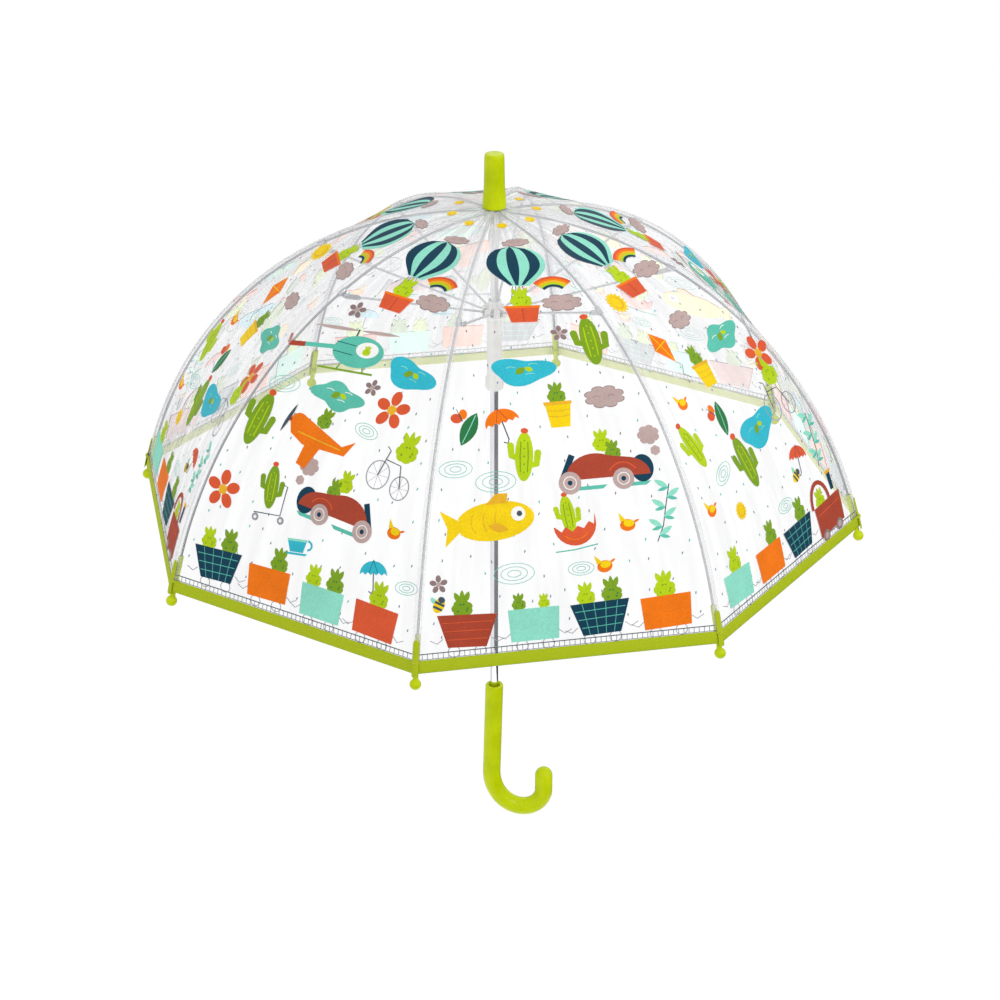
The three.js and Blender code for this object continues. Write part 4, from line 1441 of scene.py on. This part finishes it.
def rib_joint(number):
    """A folded steel clip round the rib, with an ear and a rivet for the stretcher."""
    angle = rib_angle(JOINT_RADIUS)
    outline = rounded([(1.5, -4, 0.15), (2.3, -4, 0.3), (2.3, 4, 0.3), (1.5, 4, 0.15)], closed=True, steps=2)
    build = Build()
    lathe(build, outline, "wire", 24, closed=True)
    build.points = [on_rib(angle) @ Vector(p) for p in build.points]
    pivot = offset_point(angle, 0, JOINT_DROP)
    ear = [offset_point(angle, -3 * MM, 0.4 * MM), offset_point(angle, 3 * MM, 0.4 * MM)]
    for t in np.linspace(0, math.pi, 9):
        ear.append(offset_point(angle, BLADE_HALF * math.cos(t), JOINT_DROP + BLADE_HALF * math.sin(t)))
    plate(build, ear, 1.5 * MM, JOINT_SIDE - MM, "wire", 0.15 * MM)
    x, z = pivot
    rod(build, (x, 0.9 * MM, z), (x, 1.5 * MM, z), RIVET_RADIUS, "wire", 16, RIVET_DOME)
    settle(build.piece(f"rib_clip_{number}", azimuths[number - 1]), f"rib_{number}", "wire",
           f"rib_joint_{number}")


def stretcher(number):
    """A strut: an eye on the runner's wire, a round bar, and a flattened end riveted to the clip."""
    pivot = offset_point(rib_angle(JOINT_RADIUS), 0, JOINT_DROP)
    run, rise = pivot[0] - PIVOT_RADIUS, pivot[1] - PIVOT_Z
    length = math.hypot(run, rise)
    build = Build()
    flat_from = length - BLADE_LENGTH
    slope = JOINT_SIDE / length
    start, end = (STRUT_START, slope * STRUT_START, 0), (flat_from + MM, slope * flat_from, 0)
    rod(build, start, end, STRUT_RADIUS, "strut", 12, 0.3 * MM)
    eye(build, 0, 0, "strut")
    taper = flat_from + BLADE_TAPER
    blade = [(flat_from, STRUT_RADIUS), (flat_from, -STRUT_RADIUS), (taper, -BLADE_HALF)]
    blade += [(length + BLADE_HALF * math.sin(a), -BLADE_HALF * math.cos(a))
              for a in np.linspace(0, math.pi, 12)]
    blade += [(taper, BLADE_HALF)]
    outer = JOINT_SIDE + BLADE_SIDE
    plate(build, blade, JOINT_SIDE - BLADE_SIDE, outer, "strut", 0.25 * MM)
    rod(build, (length, outer, 0), (length, outer + 0.4 * MM, 0), RIVET_RADIUS, "wire", 16, RIVET_DOME)
    tilt = Matrix.Translation((PIVOT_RADIUS, 0, PIVOT_Z)) @ Matrix.Rotation(-math.atan2(rise, run), 4, "Y")
    build.points = [tilt @ Vector(p) for p in build.points]
    body = f"stretcher_{number}"
    settle(build.piece(f"strut_{number}", azimuths[number - 1]), body, "strut", body)


def kept_nodes():
    """The small wires, the pin and the catches stay as the frame has them, in drawn wire."""
    for name in ("notch_wire", "runner_wire", "stop_pin", "open_catch", "closed_catch"):
        node = frame["nodes"][name]
        node.data.materials.clear()
        node.data.materials.append(finishes["wire"])


# ---- Studio ----


def studio():
    """A white room: the floor, the light all round and three lamps."""
    bpy.context.scene.view_settings.view_transform = "Standard"
    floor_data = bpy.data.meshes.new("floor")
    bm = bmesh.new()
    bmesh.ops.create_circle(bm, cap_ends=True, segments=96, radius=1.8)
    bmesh.ops.translate(bm, vec=(0, 0, -1.5), verts=bm.verts)
    bm.to_mesh(floor_data)
    bm.free()
    floor_data.materials.append(studio_floor())
    placed("floor", floor_data)
    world_light()
    soft_light("key", (1.8, -1.5, 1.5), 1.1, 21)
    soft_light("fill", (-2.2, -1.2, 1.3), 1.6, 4)
    soft_light("back", (0.3, 2.2, 1.7), 1.6, 6)


def aim_from(thing, place, target):
    """Stands a light or a camera at a place, turned to a target."""
    thing.location = place
    thing.rotation_mode = "QUATERNION"
    thing.rotation_quaternion = (Vector(target) - Vector(place)).to_track_quat("-Z", "Y")


def soft_light(name, place, size, power):
    """A round lamp, turned to the umbrella's middle and not seen itself."""
    light = bpy.data.lights.new(name, "AREA")
    light.shape = "DISK"
    light.size = size
    light.energy = power
    made = placed(name, light)
    aim_from(made, place, (0, 0, 0.35))
    made.visible_camera = False


def world_light():
    """White all round, with a dark wall low on the right for bright metal to show against."""
    world = bpy.data.worlds.new("studio")
    bpy.context.scene.world = world
    world.use_nodes = True
    tree = world.node_tree
    tree.nodes.clear()

    def node(kind, inputs, **settings):
        return add_node(tree, kind, inputs, **settings)

    direction = node("ShaderNodeTexCoord", {}).outputs["Generated"]
    side = node("ShaderNodeVectorMath", {0: direction, 1: (0.95, 0.3, 0)}, operation="DOT_PRODUCT")
    right = node("ShaderNodeMapRange", {"Value": side.outputs["Value"], "From Min": -0.4, "From Max": -0.25})
    height = node("ShaderNodeSeparateXYZ", {"Vector": direction}).outputs["Z"]
    low = node("ShaderNodeMapRange", {"Value": height, "From Min": -0.12, "From Max": -0.25})
    dark = node("ShaderNodeMath", {0: right.outputs[0], 1: low.outputs[0]}, operation="MULTIPLY")
    shade = node("ShaderNodeMix", {0: dark.outputs[0], 6: (1, 1, 1, 1), 7: (0.02, 0.022, 0.03, 1)},
                 data_type="RGBA")
    lit = node("ShaderNodeBackground", {"Color": shade.outputs[2], "Strength": 0.92})
    seen = node("ShaderNodeBackground", {"Color": (1, 1, 1, 1), "Strength": 1.0})
    ray = node("ShaderNodeLightPath", {}).outputs["Is Camera Ray"]
    mixed = node("ShaderNodeMixShader", {0: ray, 1: lit.outputs[0], 2: seen.outputs[0]})
    node("ShaderNodeOutputWorld", {"Surface": mixed.outputs[0]})


def camera():
    """Straight on to the front, from a little above."""
    target = Vector((0, 0, 0.28))
    elevation, distance = math.radians(25.54), 2.381
    data = bpy.data.cameras.new("camera")
    data.lens = 92.78
    data.sensor_width = 36
    data.shift_x = 0.0056
    data.shift_y = -0.037
    made = placed("camera", data)
    back = Vector((0, -math.cos(elevation), math.sin(elevation)))
    aim_from(made, target + back * distance, target)
    bpy.context.scene.camera = made


studio()
camera()
handle()
ferrule()
shaft()
top_notch()
runner()
for k in range(1, RIBS + 1):
    rib(k)
    rib_tip(k)
    tip_pad(k)
    rib_joint(k)
    stretcher(k)
canopy()
kept_nodes()

bpy.context.view_layer.update()
